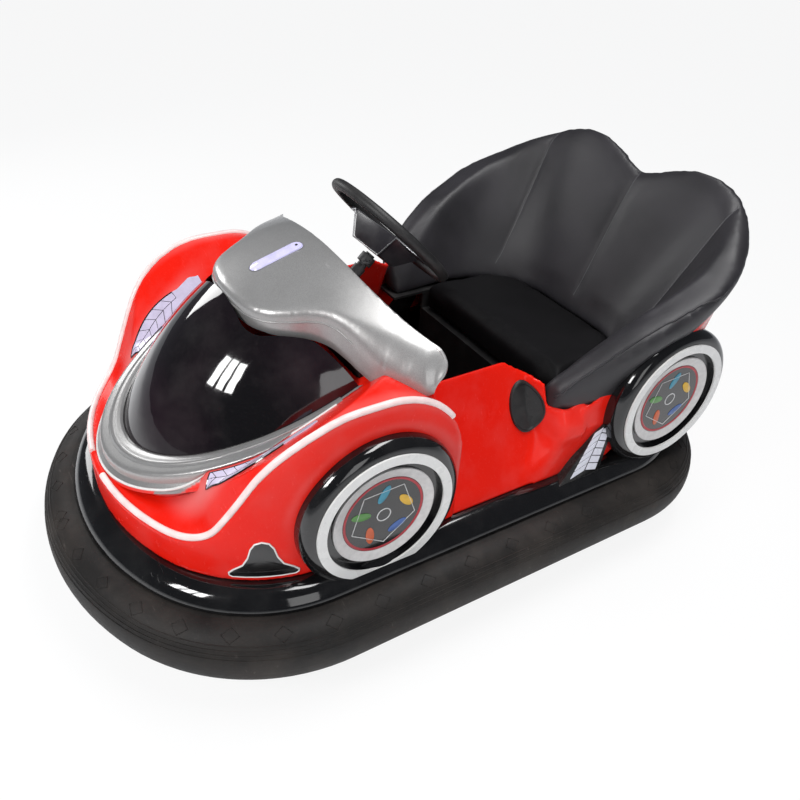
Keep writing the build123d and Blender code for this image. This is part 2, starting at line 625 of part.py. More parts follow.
def seat_horseshoe():
    """Seat back and armrests in one: a reclined horseshoe cut by its top edge."""
    outer = loft([seat_outline(SEAT_OUTER, SEAT_OUTER_FLARE, SEAT_OUTER_SLOPE, z)
                  for z in (SEAT_BASE_Z, SEAT_LOFT_Z)], ruled=True)
    inner = loft([seat_outline(SEAT_INNER, SEAT_INNER_FLARE, SEAT_INNER_SLOPE, z, 60.0)
                  for z in (SEAT_BASE_Z - 1, SEAT_LOFT_Z + 1)], ruled=True)
    side = [(SEAT_TIP_Y - 80, 0), *[(SEAT_TIP_Y - 80, SEAT_TOP_LINE[0][1])], *SEAT_TOP_LINE,
            (BIG, SEAT_TOP_LINE[-1][1] + 100), (BIG, 0)]
    top = side_extrusion(Plane.YZ * make_face(Polyline(side, close=True).edges()), BIG)
    crest = [*SEAT_CREST, (SEAT_CREST[-1][0], 0), (-SEAT_CREST[-1][0], 0),
             *[(-x, z) for x, z in reversed(SEAT_CREST[1:])]]
    front = extrude(Plane.XZ * make_face(Polyline(crest, close=True).edges()), amount=BIG,
                    both=True)
    room = rear_zone(SEAT_GAP)
    for _, x, y, z in WHEELS:
        room = room + wheel_axis(y, z, WHEEL_COVER_RADIUS + SEAT_GAP, -BIG, BIG)
    rebate = room - rear_taper(SHELL_WALL + SEAT_GAP)
    return ((outer - inner) & top & front) - rebate


def seat_back():
    """Upholstered back, behind the armrests."""
    return seat_horseshoe() & box((-BIG, BIG), (SEAT_SPLIT_Y, BIG), (0, BIG))


def armrest():
    """Upholstered armrest, left side."""
    return seat_horseshoe() & box((0, BIG), (-BIG, SEAT_SPLIT_Y - SEAT_GAP), (0, BIG))


def cushion():
    """Seat cushion: a padded block between the armrests."""
    back = CUSHION_FRONT_Y + CUSHION_DEPTH
    pad = box((-CUSHION_HALF, CUSHION_HALF), (CUSHION_FRONT_Y, back),
              (CUSHION_TOP - CUSHION_THICK, CUSHION_TOP))
    pad = fillet(pad.edges().filter_by(Axis.Z).group_by(Axis.Y)[-1], 3 * CUSHION_ROUND)
    pad = fillet(pad.faces().sort_by(Axis.Z)[-1].edges(), CUSHION_ROUND)
    return pad & seat_inside(SEAT_GAP)


def seat_inside(gap):
    """Room between the armrests, less a gap all round."""
    room = loft([seat_outline(SEAT_INNER, SEAT_INNER_FLARE, SEAT_INNER_SLOPE, z, 60.0, gap)
                 for z in (SEAT_BASE_Z - 1, SEAT_LOFT_Z)], ruled=True)
    low = seat_outline(SEAT_INNER, 0, 0, SEAT_BASE_Z - 1, 60.0, gap)
    return room + extrude(low, amount=-BIG / 2)


def seat_shelf():
    """Shelf inside the rear shell that the seat back and armrests rest on."""
    low = SEAT_BASE_Z - SHELF_THICK - SEAT_GAP
    plate = rear_taper(SHELL_WALL + SEAT_GAP)
    plate = plate & box((-BIG, BIG), (SEAT_TIP_Y, BIG), (low, low + SHELF_THICK))
    room = CUSHION_HALF + SEAT_GAP
    return plate - box((-room, room), (0, CUSHION_FRONT_Y + CUSHION_DEPTH + SEAT_GAP), (0, BIG))


def seat_base():
    """Box under the cushion: four walls up to the shelf, and a deck for the cushion."""
    floor = RAIL_BOTTOM + RAIL_HEIGHT + FLOOR_THICK + SEAT_GAP
    shelf = SEAT_BASE_Z - SHELF_THICK - 2 * SEAT_GAP
    deck = CUSHION_TOP - CUSHION_THICK - SEAT_GAP
    room = CUSHION_HALF + SEAT_GAP
    front = CUSHION_FRONT_Y
    back = front + CUSHION_DEPTH + SEAT_GAP
    walls = box((-room - BASE_WALL, room + BASE_WALL), (front, back + BASE_WALL), (floor, shelf))
    walls = walls - box((-room, room), (front + BASE_WALL, back), (0, BIG))
    walls = walls - box((-room, room), (0, front + BASE_WALL + 1), (deck, BIG))
    return walls + box((-room, room), (front, back), (deck - BASE_WALL, deck))


def battery():
    """Battery block on the floor under the seat."""
    wide, deep, tall = BATTERY
    floor = RAIL_BOTTOM + RAIL_HEIGHT + FLOOR_THICK + SEAT_GAP
    middle = CUSHION_FRONT_Y + CUSHION_DEPTH / 2
    return box((-wide / 2, wide / 2), (middle - deep / 2, middle + deep / 2),
               (floor, floor + tall))


# ---- wheels on the body sides ----------------------------------------------------------------
def wheel_axis(y, z, radius, start, end):
    """A cylinder square to the car's side, from start to end along X."""
    return Pos((start + end) / 2, y, z) * Rot(0, 90, 0) * Cylinder(radius, end - start)


def wheel_cover(x, y, z):
    """Black moulded tyre, left side: rounded rim, dished middle, back fitted to the body."""
    body = wheel_axis(y, z, WHEEL_COVER_RADIUS, x - WHEEL_COVER_DEPTH, x)
    body = fillet(body.edges().sort_by(Axis.X)[-1], WHEEL_COVER_ROUND)
    dish = wheel_axis(y, z, WHEEL_RING_RADIUS - WHEEL_RING_WIDTH, x - WHEEL_DISH_DEPTH, x + 1)
    low = RUBBER_BOTTOM + RUBBER_HEIGHT + SEAT_GAP
    cover = (body - dish) & box((0, BIG), (-BIG, BIG), (low, BIG))
    inside = plan_block(BODY_IN - SEAT_GAP, low - 1, SKIRT_TOP + SEAT_GAP)
    cover = cover - inside
    if y < 0:
        return cover - front_solid(-SEAT_GAP)
    return cover - rear_taper(-SEAT_GAP)


def wheel_ring(x, y, z):
    """White ring on a tyre's face."""
    ring = wheel_axis(y, z, WHEEL_RING_RADIUS, x + SEAT_GAP, x + WHEEL_RING_PROUD)
    return ring - wheel_axis(y, z, WHEEL_RING_RADIUS - WHEEL_RING_WIDTH, x, x + BIG)


def wheel_disc(x, y, z):
    """Disc in the tyre's dish."""
    start = x - WHEEL_DISH_DEPTH + SEAT_GAP
    return wheel_axis(y, z, WHEEL_RING_RADIUS - WHEEL_RING_WIDTH - SEAT_GAP, start,
                      start + WHEEL_DISC_THICK)


def wheel_pockets():
    """Room for the tyres in the skirt, both sides."""
    cut = None
    for _, x, y, z in WHEELS:
        pocket = wheel_axis(y, z, WHEEL_COVER_RADIUS + SEAT_GAP, x - WHEEL_COVER_DEPTH - 1, BIG / 2)
        cut = pocket if cut is None else cut + pocket
    return (cut + mirrored(cut)) - plan_block(BODY_IN, 0, BIG)


# ---- lower body ------------------------------------------------------------------------------
def bumper_ring():
    """Rubber ring of D section all round the car."""
    ring = plan_block(0, RUBBER_BOTTOM, RUBBER_BOTTOM + RUBBER_HEIGHT)
    edges = ring.faces().sort_by(Axis.Z)[-1].edges() + ring.faces().sort_by(Axis.Z)[0].edges()
    ring = fillet(edges, RUBBER_ROUND)
    hole = plan_block(RUBBER_WIDTH, RUBBER_BOTTOM - 1, RUBBER_BOTTOM + RUBBER_HEIGHT + 1)
    return ring - hole


def lower_skirt():
    """Black skirt: a sloping ledge on the rubber, and the wall that carries the shells."""
    low = RUBBER_BOTTOM + RUBBER_HEIGHT + SEAT_GAP
    slope = plan_taper(SKIRT_OUT, low + SKIRT_LIP, BODY_IN, SKIRT_TOP)
    slope = slope + plan_block(SKIRT_OUT, low, low + SKIRT_LIP)
    under = plan_taper(SKIRT_OUT + SKIRT_WALL, low - 1, BODY_IN + SKIRT_WALL,
                       SKIRT_TOP - SKIRT_WALL)
    inside = RUBBER_WIDTH + SEAT_GAP
    wall = plan_ring(inside, inside + SKIRT_WALL, RAIL_BOTTOM + RAIL_HEIGHT + FLOOR_THICK,
                     SKIRT_TOP)
    ledge = slope - under - plan_block(inside + SKIRT_WALL, low - 5, SKIRT_TOP + 5)
    return ledge + wall - wheel_pockets()


def chassis_frame():
    """Steel perimeter rail with three cross tubes."""
    inside = RUBBER_WIDTH + SEAT_GAP
    top = RAIL_BOTTOM + RAIL_HEIGHT
    frame = plan_ring(inside, inside + RAIL_WIDTH, RAIL_BOTTOM, top)
    bay = swing_radius() + SWIVEL_WALL + CROSS_WIDTH / 2
    rear_bay = REAR_WHEEL_RADIUS + REAR_BAY_GAP + CROSS_WIDTH / 2
    for y in (DRIVE_Y - bay, DRIVE_Y + bay, REAR_WHEEL_Y - rear_bay, REAR_WHEEL_Y + rear_bay):
        bar = box((-WIDTH / 2, WIDTH / 2), (y - CROSS_WIDTH / 2, y + CROSS_WIDTH / 2),
                  (RAIL_BOTTOM, top))
        frame = frame + (bar & plan_block(inside + 1, RAIL_BOTTOM, top))
    return frame


def floor_pan():
    """Floor on the frame, with the round hole for the drive unit."""
    inside = RUBBER_WIDTH + SEAT_GAP
    low = RAIL_BOTTOM + RAIL_HEIGHT
    pan = plan_block(inside, low, low + FLOOR_THICK)
    hole = Pos(0, DRIVE_Y, low) * Cylinder(swing_radius() + SWIVEL_WALL, 100)
    return pan - hole


# ---- steering --------------------------------------------------------------------------------
def column_place():
    """Frame at the rim's centre, its Z along the column towards the driver."""
    return Pos(0, RIM_CENTRE_Y, RIM_CENTRE_Z) * Rot(-COLUMN_TILT, 0, 0)


def jacket_radius():
    """Outer radius of the column's jacket."""
    return COLUMN_RADIUS + BORE_GAP + JACKET_WALL


def steering_rim():
    """Steering wheel rim."""
    return column_place() * Torus(RIM_RADIUS, RIM_TUBE)


def steering_hub():
    """Tapered hub box with its two spokes, let into the rim's inner side."""
    box_low = make_face(Rectangle(*HUB_FOOT).edges())
    box_high = make_face(Rectangle(*HUB_TOP).edges())
    hub = loft([Pos(0, 0, -HUB_DEPTH) * box_low, box_high], ruled=True)
    spokes = Box(2 * RIM_RADIUS, SPOKE_WIDTH, SPOKE_THICK)
    spokes = Pos(0, 0, -SPOKE_THICK / 2) * spokes
    return column_place() * ((hub + spokes) - Torus(RIM_RADIUS, RIM_TUBE))


def steering_column():
    """Shaft from the hub down into the nose."""
    length = COLUMN_LENGTH - HUB_DEPTH
    return column_place() * Pos(0, 0, -HUB_DEPTH - length / 2) * Cylinder(COLUMN_RADIUS, length)


def column_jacket():
    """Fixed jacket that carries the shaft in the dash."""
    tube = Cylinder(jacket_radius(), JACKET_LENGTH) - Cylinder(COLUMN_RADIUS + BORE_GAP, BIG)
    return column_place() * Pos(0, 0, -JACKET_START - JACKET_LENGTH / 2) * tube


# ---- drive unit ------------------------------------------------------------------------------
def across(y, z, radius, start, end):
    """A cylinder along X."""
    return wheel_axis(y, z, radius, start, end)


def drive_wheel():
    """Solid rubber drive wheel on its hub."""
    half = DRIVE_WHEEL_WIDTH / 2
    tyre = across(DRIVE_Y, DRIVE_WHEEL_RADIUS, DRIVE_WHEEL_RADIUS, -half, half)
    tyre = fillet(tyre.edges().filter_by(GeomType.CIRCLE), 8)
    return tyre - across(DRIVE_Y, DRIVE_WHEEL_RADIUS, DRIVE_HUB_RADIUS, -half - 1, half + 1)


def drive_hub():
    """Steel hub of the drive wheel."""
    half = DRIVE_WHEEL_WIDTH / 2
    hub = across(DRIVE_Y, DRIVE_WHEEL_RADIUS, DRIVE_HUB_RADIUS, -half, half)
    return hub - across(DRIVE_Y, DRIVE_WHEEL_RADIUS, AXLE_RADIUS + BORE_GAP, -BIG, BIG)


def drive_fork():
    """Fork over the drive wheel, with its axle and kingpin."""
    inner = DRIVE_WHEEL_WIDTH / 2 + FORK_GAP
    outer = inner + FORK_PLATE
    crown_top = FORK_CROWN_Z + FORK_PLATE
    fork = box((-outer, outer), (DRIVE_Y - DRIVE_HUB_RADIUS, DRIVE_Y + DRIVE_HUB_RADIUS),
               (FORK_CROWN_Z, crown_top))
    for side in (-1, 1):
        a, b = sorted((side * inner, side * outer))
        fork = fork + box((a, b), (DRIVE_Y - DRIVE_HUB_RADIUS / 2, DRIVE_Y + DRIVE_HUB_RADIUS / 2),
                          (DRIVE_WHEEL_RADIUS - 2 * AXLE_RADIUS, crown_top))
    fork = fork + across(DRIVE_Y, DRIVE_WHEEL_RADIUS, AXLE_RADIUS, -outer, outer)
    pin = Pos(0, DRIVE_Y, (crown_top + KINGPIN_TOP) / 2) * Cylinder(KINGPIN_RADIUS,
                                                                     KINGPIN_TOP - crown_top)
    return fork + pin


def drive_motor():
    """Drive motor on the fork's left plate."""
    start = DRIVE_WHEEL_WIDTH / 2 + FORK_GAP + FORK_PLATE + SEAT_GAP
    return across(DRIVE_Y, DRIVE_WHEEL_RADIUS, MOTOR_RADIUS, start, start + MOTOR_LENGTH)


def swing_radius():
    """Room that the drive unit sweeps as it swivels."""
    reach = DRIVE_WHEEL_WIDTH / 2 + FORK_GAP + FORK_PLATE + SEAT_GAP + MOTOR_LENGTH
    return sqrt(reach ** 2 + MOTOR_RADIUS ** 2)


def swivel_bridge():
    """Bridge over the drive unit, with the kingpin's bearing tube."""
    floor = RAIL_BOTTOM + RAIL_HEIGHT + FLOOR_THICK + SEAT_GAP
    low = FORK_CROWN_Z + FORK_PLATE + SWIVEL_WALL
    top = low + SWIVEL_WALL
    room = swing_radius() + SWIVEL_WALL
    half = room + 2 * SWIVEL_WALL
    deep = KINGPIN_RADIUS + 3 * SWIVEL_WALL
    bridge = box((-half, half), (DRIVE_Y - deep, DRIVE_Y + deep), (low, top))
    for side in (-1, 1):
        a, b = sorted((side * room, side * half))
        bridge = bridge + box((a, b), (DRIVE_Y - deep, DRIVE_Y + deep), (floor, top))
    tube = Cylinder(KINGPIN_RADIUS + SWIVEL_WALL, KINGPIN_TOP - low)
    bridge = bridge + Pos(0, DRIVE_Y, (KINGPIN_TOP + low) / 2) * tube
    return bridge - Pos(0, DRIVE_Y, low) * Cylinder(KINGPIN_RADIUS + BORE_GAP, BIG)


# ---- rear wheels -----------------------------------------------------------------------------
def rear_wheel():
    """Solid rubber rear wheel, left side."""
    a, b = REAR_WHEEL_X - REAR_WHEEL_WIDTH / 2, REAR_WHEEL_X + REAR_WHEEL_WIDTH / 2
    tyre = across(REAR_WHEEL_Y, REAR_WHEEL_RADIUS, REAR_WHEEL_RADIUS, a, b)
    tyre = fillet(tyre.edges().filter_by(GeomType.CIRCLE), 8)
    return tyre - across(REAR_WHEEL_Y, REAR_WHEEL_RADIUS, REAR_HUB_RADIUS, a - 1, b + 1)


def rear_hub():
    """Steel hub of the left rear wheel."""
    a, b = REAR_WHEEL_X - REAR_WHEEL_WIDTH / 2, REAR_WHEEL_X + REAR_WHEEL_WIDTH / 2
    hub = across(REAR_WHEEL_Y, REAR_WHEEL_RADIUS, REAR_HUB_RADIUS, a, b)
    return hub - across(REAR_WHEEL_Y, REAR_WHEEL_RADIUS, AXLE_RADIUS + BORE_GAP, a - 1, b + 1)


def rear_axle():
    """Fixed rear axle with its hangers on both sides of each wheel."""
    reach = REAR_WHEEL_X + REAR_WHEEL_WIDTH / 2 + HANGER_GAP + HANGER_WIDTH
    axle = across(REAR_WHEEL_Y, REAR_WHEEL_RADIUS, AXLE_RADIUS, -reach, reach)
    top = RAIL_BOTTOM + RAIL_HEIGHT - SEAT_GAP
    for side in (-1, 1):
        for offset_x in (-1, 1):
            middle = REAR_WHEEL_X + offset_x * (REAR_WHEEL_WIDTH + HANGER_WIDTH + 2 * HANGER_GAP) / 2
            x = side * middle
            axle = axle + box((x - HANGER_WIDTH / 2, x + HANGER_WIDTH / 2),
                              (REAR_WHEEL_Y - REAR_HUB_RADIUS, REAR_WHEEL_Y + REAR_HUB_RADIUS),
                              (REAR_WHEEL_RADIUS - 2 * AXLE_RADIUS, top))
    return axle


# ---- trim on the body sides ------------------------------------------------------------------
def badge_plate():
    """Blank badge plate on the left front side."""
    face = make_face(Polyline([(-BADGE_WIDTH / 2, 0), (BADGE_WIDTH / 2, 0),
                               (BADGE_WIDTH * 0.1, BADGE_HEIGHT),
                               (-BADGE_WIDTH * 0.25, BADGE_HEIGHT)], close=True).edges())
    shoulder_x = WIDTH / 2 - SHOULDER_RADIUS
    nose_y = -LENGTH / 2 + NOSE_RADIUS
    shoulder_y = nose_y - sqrt((NOSE_RADIUS - SHOULDER_RADIUS) ** 2 - shoulder_x ** 2)
    place = Plane(origin=(shoulder_x, shoulder_y, BADGE_BOTTOM),
                  x_dir=(-sin(radians(BADGE_ANGLE)), cos(radians(BADGE_ANGLE)), 0),
                  z_dir=(cos(radians(BADGE_ANGLE)), sin(radians(BADGE_ANGLE)), 0))
    prism = extrude(place * face, amount=SHOULDER_RADIUS)
    return prism & plan_ring(BODY_IN - SEAT_GAP - BADGE_THICK, BODY_IN - SEAT_GAP,
                             SKIRT_TOP, SKIRT_TOP + 2 * BADGE_HEIGHT)


def side_lamp():
    """Leaf-shaped lamp plate on the left rear shell."""
    face = Plane.YZ * make_face(Polyline(SIDE_LAMP, close=True).edges())
    prism = extrude(face, amount=BIG)
    return prism & (rear_taper(-SIDE_LAMP_THICK) - rear_taper(-SEAT_GAP))


# ---- the nodes -------------------------------------------------------------------------------
save(bumper_ring(), "bumper_ring")
save(lower_skirt(), "lower_skirt")
save(chassis_frame(), "chassis_frame")
save(floor_pan(), "floor_pan")
save(nose_shell(), "nose_shell")
save(nose_surround(), "nose_surround")
save(windscreen_dome(), "windscreen_dome")
save(cowl(), "cowl")
save(cowl_lamp(), "cowl_lamp")
save(dash_panel(), "dash_panel")
save(rear_shell(), "rear_shell")
save(seat_back(), "seat_back")
save(cushion(), "seat_cushion")
save(seat_shelf(), "seat_shelf")
save(seat_base(), "seat_base")
save(battery(), "battery")
save(steering_rim(), "steering_rim")
save(steering_hub(), "steering_hub")
save(steering_column(), "steering_column")
save(column_jacket(), "column_jacket")
save(drive_wheel(), "drive_wheel")
save(drive_hub(), "drive_hub")
save(drive_fork(), "drive_fork")
save(drive_motor(), "drive_motor")
save(swivel_bridge(), "swivel_bridge")
save(rear_axle(), "rear_axle")

PAIRS = [                # builder of the left piece, name
    (light_strip, "light_strip"),
    (headlamp, "headlamp"),
    (waist_panel, "waist_panel"),
    (speaker_port, "speaker_port"),
    (armrest, "armrest"),
    (badge_plate, "badge_plate"),
    (side_lamp, "side_lamp"),
    (rear_wheel, "rear_wheel"),
    (rear_hub, "rear_hub"),
]
for build, name in PAIRS:
    piece = build()
    save(piece, f"{name}_left")
    save(mirrored(piece), f"{name}_right")

for place, x, y, z in WHEELS:
    for build, name in ((wheel_cover, "cover"), (wheel_ring, "ring"), (wheel_disc, "disc")):
        piece = build(x, y, z)
        save(piece, f"{place}_{name}_left")
        save(mirrored(piece), f"{place}_{name}_right")
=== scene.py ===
"""Bumper car: the dressed pieces, finishes, light and camera."""
import bpy
import json
from math import atan2, cos, degrees, pi, radians, sin, sqrt, tan
from mathutils import Matrix, Vector
from mathutils.bvhtree import BVHTree
from mathutils.geometry import delaunay_2d_cdt


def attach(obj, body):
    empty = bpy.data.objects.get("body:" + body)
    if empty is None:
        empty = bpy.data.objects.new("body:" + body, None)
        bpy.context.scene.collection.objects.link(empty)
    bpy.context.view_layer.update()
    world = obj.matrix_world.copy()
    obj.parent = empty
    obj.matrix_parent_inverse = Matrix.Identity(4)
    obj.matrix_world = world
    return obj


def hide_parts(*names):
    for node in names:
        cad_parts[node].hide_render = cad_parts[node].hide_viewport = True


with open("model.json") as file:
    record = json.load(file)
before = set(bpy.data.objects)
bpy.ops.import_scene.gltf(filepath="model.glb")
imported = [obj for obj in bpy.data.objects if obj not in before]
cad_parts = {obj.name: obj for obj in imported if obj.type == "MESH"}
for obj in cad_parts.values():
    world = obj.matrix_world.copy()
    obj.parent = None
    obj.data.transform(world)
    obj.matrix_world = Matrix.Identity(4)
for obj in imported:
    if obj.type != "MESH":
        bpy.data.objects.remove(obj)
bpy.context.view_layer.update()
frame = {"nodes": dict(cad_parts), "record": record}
NODES = frame["nodes"]
SCENE = bpy.context.scene
MESH = bpy.ops.mesh
DOWN = Vector((0, 0, -1))

# ---- modelling helpers ----


def take(*pieces):
    """Selects these pieces alone, in object mode, the first one active."""
    if bpy.context.object and bpy.context.object.mode != "OBJECT":
        bpy.ops.object.mode_set(mode="OBJECT")
    bpy.ops.object.select_all(action="DESELECT")
    for piece in pieces:
        piece.select_set(True)
        bpy.context.view_layer.objects.active = pieces[0]


def added(name, data):
    """A new object in the scene."""
    made = bpy.data.objects.new(name, data)
    SCENE.collection.objects.link(made)
    return made


def settle(piece):
    """Puts the piece's place into its mesh."""
    take(piece)
    bpy.ops.object.transform_apply(location=True, rotation=True, scale=True)


def named(name):
    """Names the piece just added."""
    piece = bpy.context.object
    piece.name = piece.data.name = name
    return piece


def edit(piece, *steps):
    """Runs operators, each with its settings, on the whole mesh in edit mode."""
    take(piece)
    bpy.ops.object.mode_set(mode="EDIT")
    MESH.select_all(action="SELECT")
    for step, settings in steps:
        step(**settings)
    bpy.ops.object.mode_set(mode="OBJECT")


FLIP = (MESH.flip_normals, {})
OUTWARD = (MESH.normals_make_consistent, {"inside": False})


def weld(distance):
    """Edit step that merges points closer than distance."""
    return MESH.remove_doubles, {"threshold": distance}


def modify(piece, *stack):
    """Adds modifiers, each a kind and its settings, and applies them in order."""
    for kind, settings in stack:
        made = piece.modifiers.new(kind.title(), kind)
        for key, value in settings.items():
            setattr(made, key, value)
    take(piece)
    for made in list(piece.modifiers):
        bpy.ops.object.modifier_apply(modifier=made.name)


def wall(thickness, offset=-1, even=False):
    """Modifier that thickens a sheet."""
    return "SOLIDIFY", {"thickness": thickness, "offset": offset, "use_even_offset": even}


def soften(passes, region=""):
    """Modifier that smooths the mesh, or one vertex group of it."""
    return "SMOOTH", {"factor": 0.5, "iterations": passes, "vertex_group": region}


def rounded(width, segments=2, **more):
    """Modifier that rounds the edges."""
    return "BEVEL", {"width": width, "segments": segments, **more}


def remeshed(voxel):
    """Modifier that makes even quads."""
    return "REMESH", {"mode": "VOXEL", "voxel_size": voxel}


FINER = ("SUBSURF", {"levels": 1, "render_levels": 1})


def smooth(piece, angle=40.0):
    """Smooth shading that keeps the hard edges."""
    take(piece)
    bpy.ops.object.shade_smooth_by_angle(angle=radians(angle))


def joined(name, pieces):
    """Several pieces as one."""
    take(*pieces)
    if len(pieces) > 1:
        bpy.ops.object.join()
    return named(name)


def node_copy(name, *nodes):
    """A merged copy of CAD nodes as one new piece."""
    copies = []
    for source in (NODES[node] for node in nodes):
        copy = added(name, source.data.copy())
        copy.matrix_world = source.matrix_world.copy()
        copies.append(copy)
    piece = joined(name, copies)
    settle(piece)
    edit(piece, weld(0.00002))
    piece.data.materials.clear()
    return piece


def mirrored_copy(piece, name):
    """The piece's twin on the other side of the car."""
    twin = piece.copy()
    twin.data = piece.data.copy()
    twin.name = twin.data.name = name
    SCENE.collection.objects.link(twin)
    twin.scale = (-1, 1, 1)
    settle(twin)
    edit(twin, FLIP)
    return twin


def finish_piece(piece, material, body="chassis", slot=None, replaces=()):
    """Gives a new piece its material and body; the slot is not used."""
    if material is not None:
        piece.data.materials.clear()
        piece.data.materials.append(material)
    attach(piece, body)
    if replaces:
        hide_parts(*replaces)
    return piece


def finish_pair(left, material, slot=None, node=None):
    """Finishes a piece of the left side, then its mirrored twin on the right."""
    stands_for = [(node + side,) if node else () for side in ("_left", "_right")]
    finish_piece(left, material, slot=slot, replaces=stands_for[0])
    right = mirrored_copy(left, left.name.replace("Left", "Right"))
    finish_piece(right, None, slot=slot, replaces=stands_for[1])


def surface(piece):
    """A search tree over the piece's mesh."""
    return BVHTree.FromObject(piece, bpy.context.evaluated_depsgraph_get())


def outer_skin(piece):
    """Deletes the inner faces of a thin shell, and its cut edges."""
    tree = surface(piece)
    edit(piece, (MESH.select_mode, {"type": "FACE"}), (MESH.select_all, {"action": "DESELECT"}))
    for face in piece.data.polygons:
        start = face.center + face.normal * 0.002
        face.select = (face.normal.z < -0.05
                       or tree.ray_cast(start, face.normal, 1.5)[0] is not None)
    bpy.ops.object.mode_set(mode="EDIT")
    MESH.delete(type="FACE")
    edit(piece, OUTWARD)


def snapped(points, tree, lift=0.0):
    """The points put on a surface, lifted along its normal."""
    found = [tree.find_nearest(Vector(point)) for point in points]
    return [spot + normal * lift for spot, normal, _, _ in found]


def sheet(name, vertices, faces, edges=()):
    """A new piece from its points and faces."""
    mesh = bpy.data.meshes.new(name)
    mesh.from_pydata(vertices, edges, faces)
    piece = added(name, mesh)
    take(piece)
    return piece


def quads(rows, count, closed=False, turned=False):
    """Faces between rows of count points each; turned ones are wound the other way."""
    faces = []
    for start in range(0, (rows - 1) * count, count):
        for step in range(count if closed else count - 1):
            a, b = start + step, start + (step + 1) % count
            faces.append((a, a + count, b + count, b) if turned else
                         (a, b, b + count, a + count))
    return faces


def tube(name, points, radius, closed=False, sides=3):
    """A round bar along the points, as a mesh."""
    take()
    curve = bpy.data.curves.new(name, "CURVE")
    curve.dimensions = "3D"
    line = curve.splines.new("POLY")
    line.points.add(len(points) - 1)
    for spot, point in zip(line.points, points):
        spot.co = (*point, 1.0)
    line.use_cyclic_u = closed
    curve.bevel_depth = radius
    curve.bevel_resolution = sides
    curve.use_fill_caps = not closed
    take(added(name, curve))
    bpy.ops.object.convert(target="MESH")
    piece = named(name)
    smooth(piece, 50)
    return piece


def cylinder(name, place, axis, radius, depth, sides, bevel):
    """A short cylinder centred on place along axis, with a small round on its rims."""
    take()
    MESH.primitive_cylinder_add(vertices=sides, radius=radius, depth=depth, location=place)
    piece = named(name)
    piece.rotation_euler = Vector(axis).to_track_quat("Z", "Y").to_euler()
    settle(piece)
    modify(piece, rounded(bevel, 3, limit_method="ANGLE"))
    smooth(piece)
    return piece


def split(points, parts, closed=False):
    """Points spaced along a line of sides, in equal parts; an open line's end is left out."""
    points = [Vector(point) for point in points]
    after = points[1:] + points[:1] if closed else points[1:]
    return [a.lerp(b, part / parts) for a, b in zip(points, after) for part in range(parts)]


def circle(steps):
    """Angles evenly round a circle."""
    return [2 * pi * step / steps for step in range(steps)]


def evened(values, passes):
    """The list smoothed, its ends kept."""
    for _ in range(passes):
        middle = [(a + b + c) / 3 for a, b, c in zip(values, values[1:], values[2:])]
        values = values[:1] + middle + values[-1:]
    return values


def paint_fade(piece, value):
    """Stores the number per vertex that a finish reads as its fade."""
    layer = piece.data.attributes.new("fade", "FLOAT", "POINT")
    layer.data.foreach_set("value", [value(v.co) for v in piece.data.vertices])


def move_vertices(piece, shift):
    """Moves each vertex by what shift gives for its place and normal."""
    moved = [v.co + shift(v.co, v.normal) for v in piece.data.vertices]
    for vertex, place in zip(piece.data.vertices, moved):
        vertex.co = place
    piece.data.update()


def ease(low, high, value):
    """Smooth step from 0 at low to 1 at high."""
    share = min(max((value - low) / (high - low), 0.0), 1.0)
    return share * share * (3 - 2 * share)


# ---- finishes ----


def add_node(tree, kind, inputs, **settings):
    """A new shader node; each input is a number, a colour or a socket to link."""
    made = tree.nodes.new("ShaderNode" + kind)
    for key, value in settings.items():
        setattr(made, key, value)
    for key, value in inputs.items():
        if isinstance(value, bpy.types.NodeSocket):
            tree.links.new(value, made.inputs[key])
        else:
            made.inputs[key].default_value = value
    return made


def noise(tree, vector, scale, detail, roughness):
    """A noise pattern."""
    return add_node(tree, "TexNoise", {"Vector": vector, "Scale": scale, "Detail": detail,
                                       "Roughness": roughness}).outputs["Fac"]


def ramp(tree, source, low, high, start=0.0, end=1.0):
    """A clamped remap from low..high to start..end."""
    return add_node(tree, "MapRange", {"Value": source, "From Min": low, "From Max": high,
                                       "To Min": start, "To Max": end}).outputs[0]


def calc(tree, operation, first, second):
    """A maths node whose inputs are sockets or numbers."""
    return add_node(tree, "Math", {0: first, 1: second}, operation=operation).outputs[0]


def mix(tree, factor, first, second):
    """A colour mix whose inputs are sockets or colours."""
    first, second = ((*c, 1.0) if isinstance(c, tuple) else c for c in (first, second))
    return add_node(tree, "Mix", {0: factor, 6: first, 7: second}, data_type="RGBA").outputs[2]


def mask_group(name, pattern):
    """A shared group that turns a place and an amount into a mask."""
    tree = bpy.data.node_groups.new(name, "ShaderNodeTree")
    for label, way, kind in (("Vector", "INPUT", "Vector"), ("Amount", "INPUT", "Float"),
                             ("Mask", "OUTPUT", "Float")):
        tree.interface.new_socket(label, in_out=way, socket_type="NodeSocket" + kind)
    entry, leave = tree.nodes.new("NodeGroupInput"), tree.nodes.new("NodeGroupOutput")
    mask = calc(tree, "MULTIPLY", pattern(tree, entry.outputs["Vector"]), entry.outputs["Amount"])
    tree.links.new(mask, leave.inputs["Mask"])
    return tree


def dust_pattern(tree, vector):
    """Soft blotches and fine specks."""
    soft = ramp(tree, noise(tree, vector, 7.0, 6.0, 0.62), 0.48, 0.72)
    fine = ramp(tree, noise(tree, vector, 210.0, 2.0, 0.5), 0.60, 0.74)
    return calc(tree, "MAXIMUM", soft, calc(tree, "MULTIPLY", fine, 0.6))


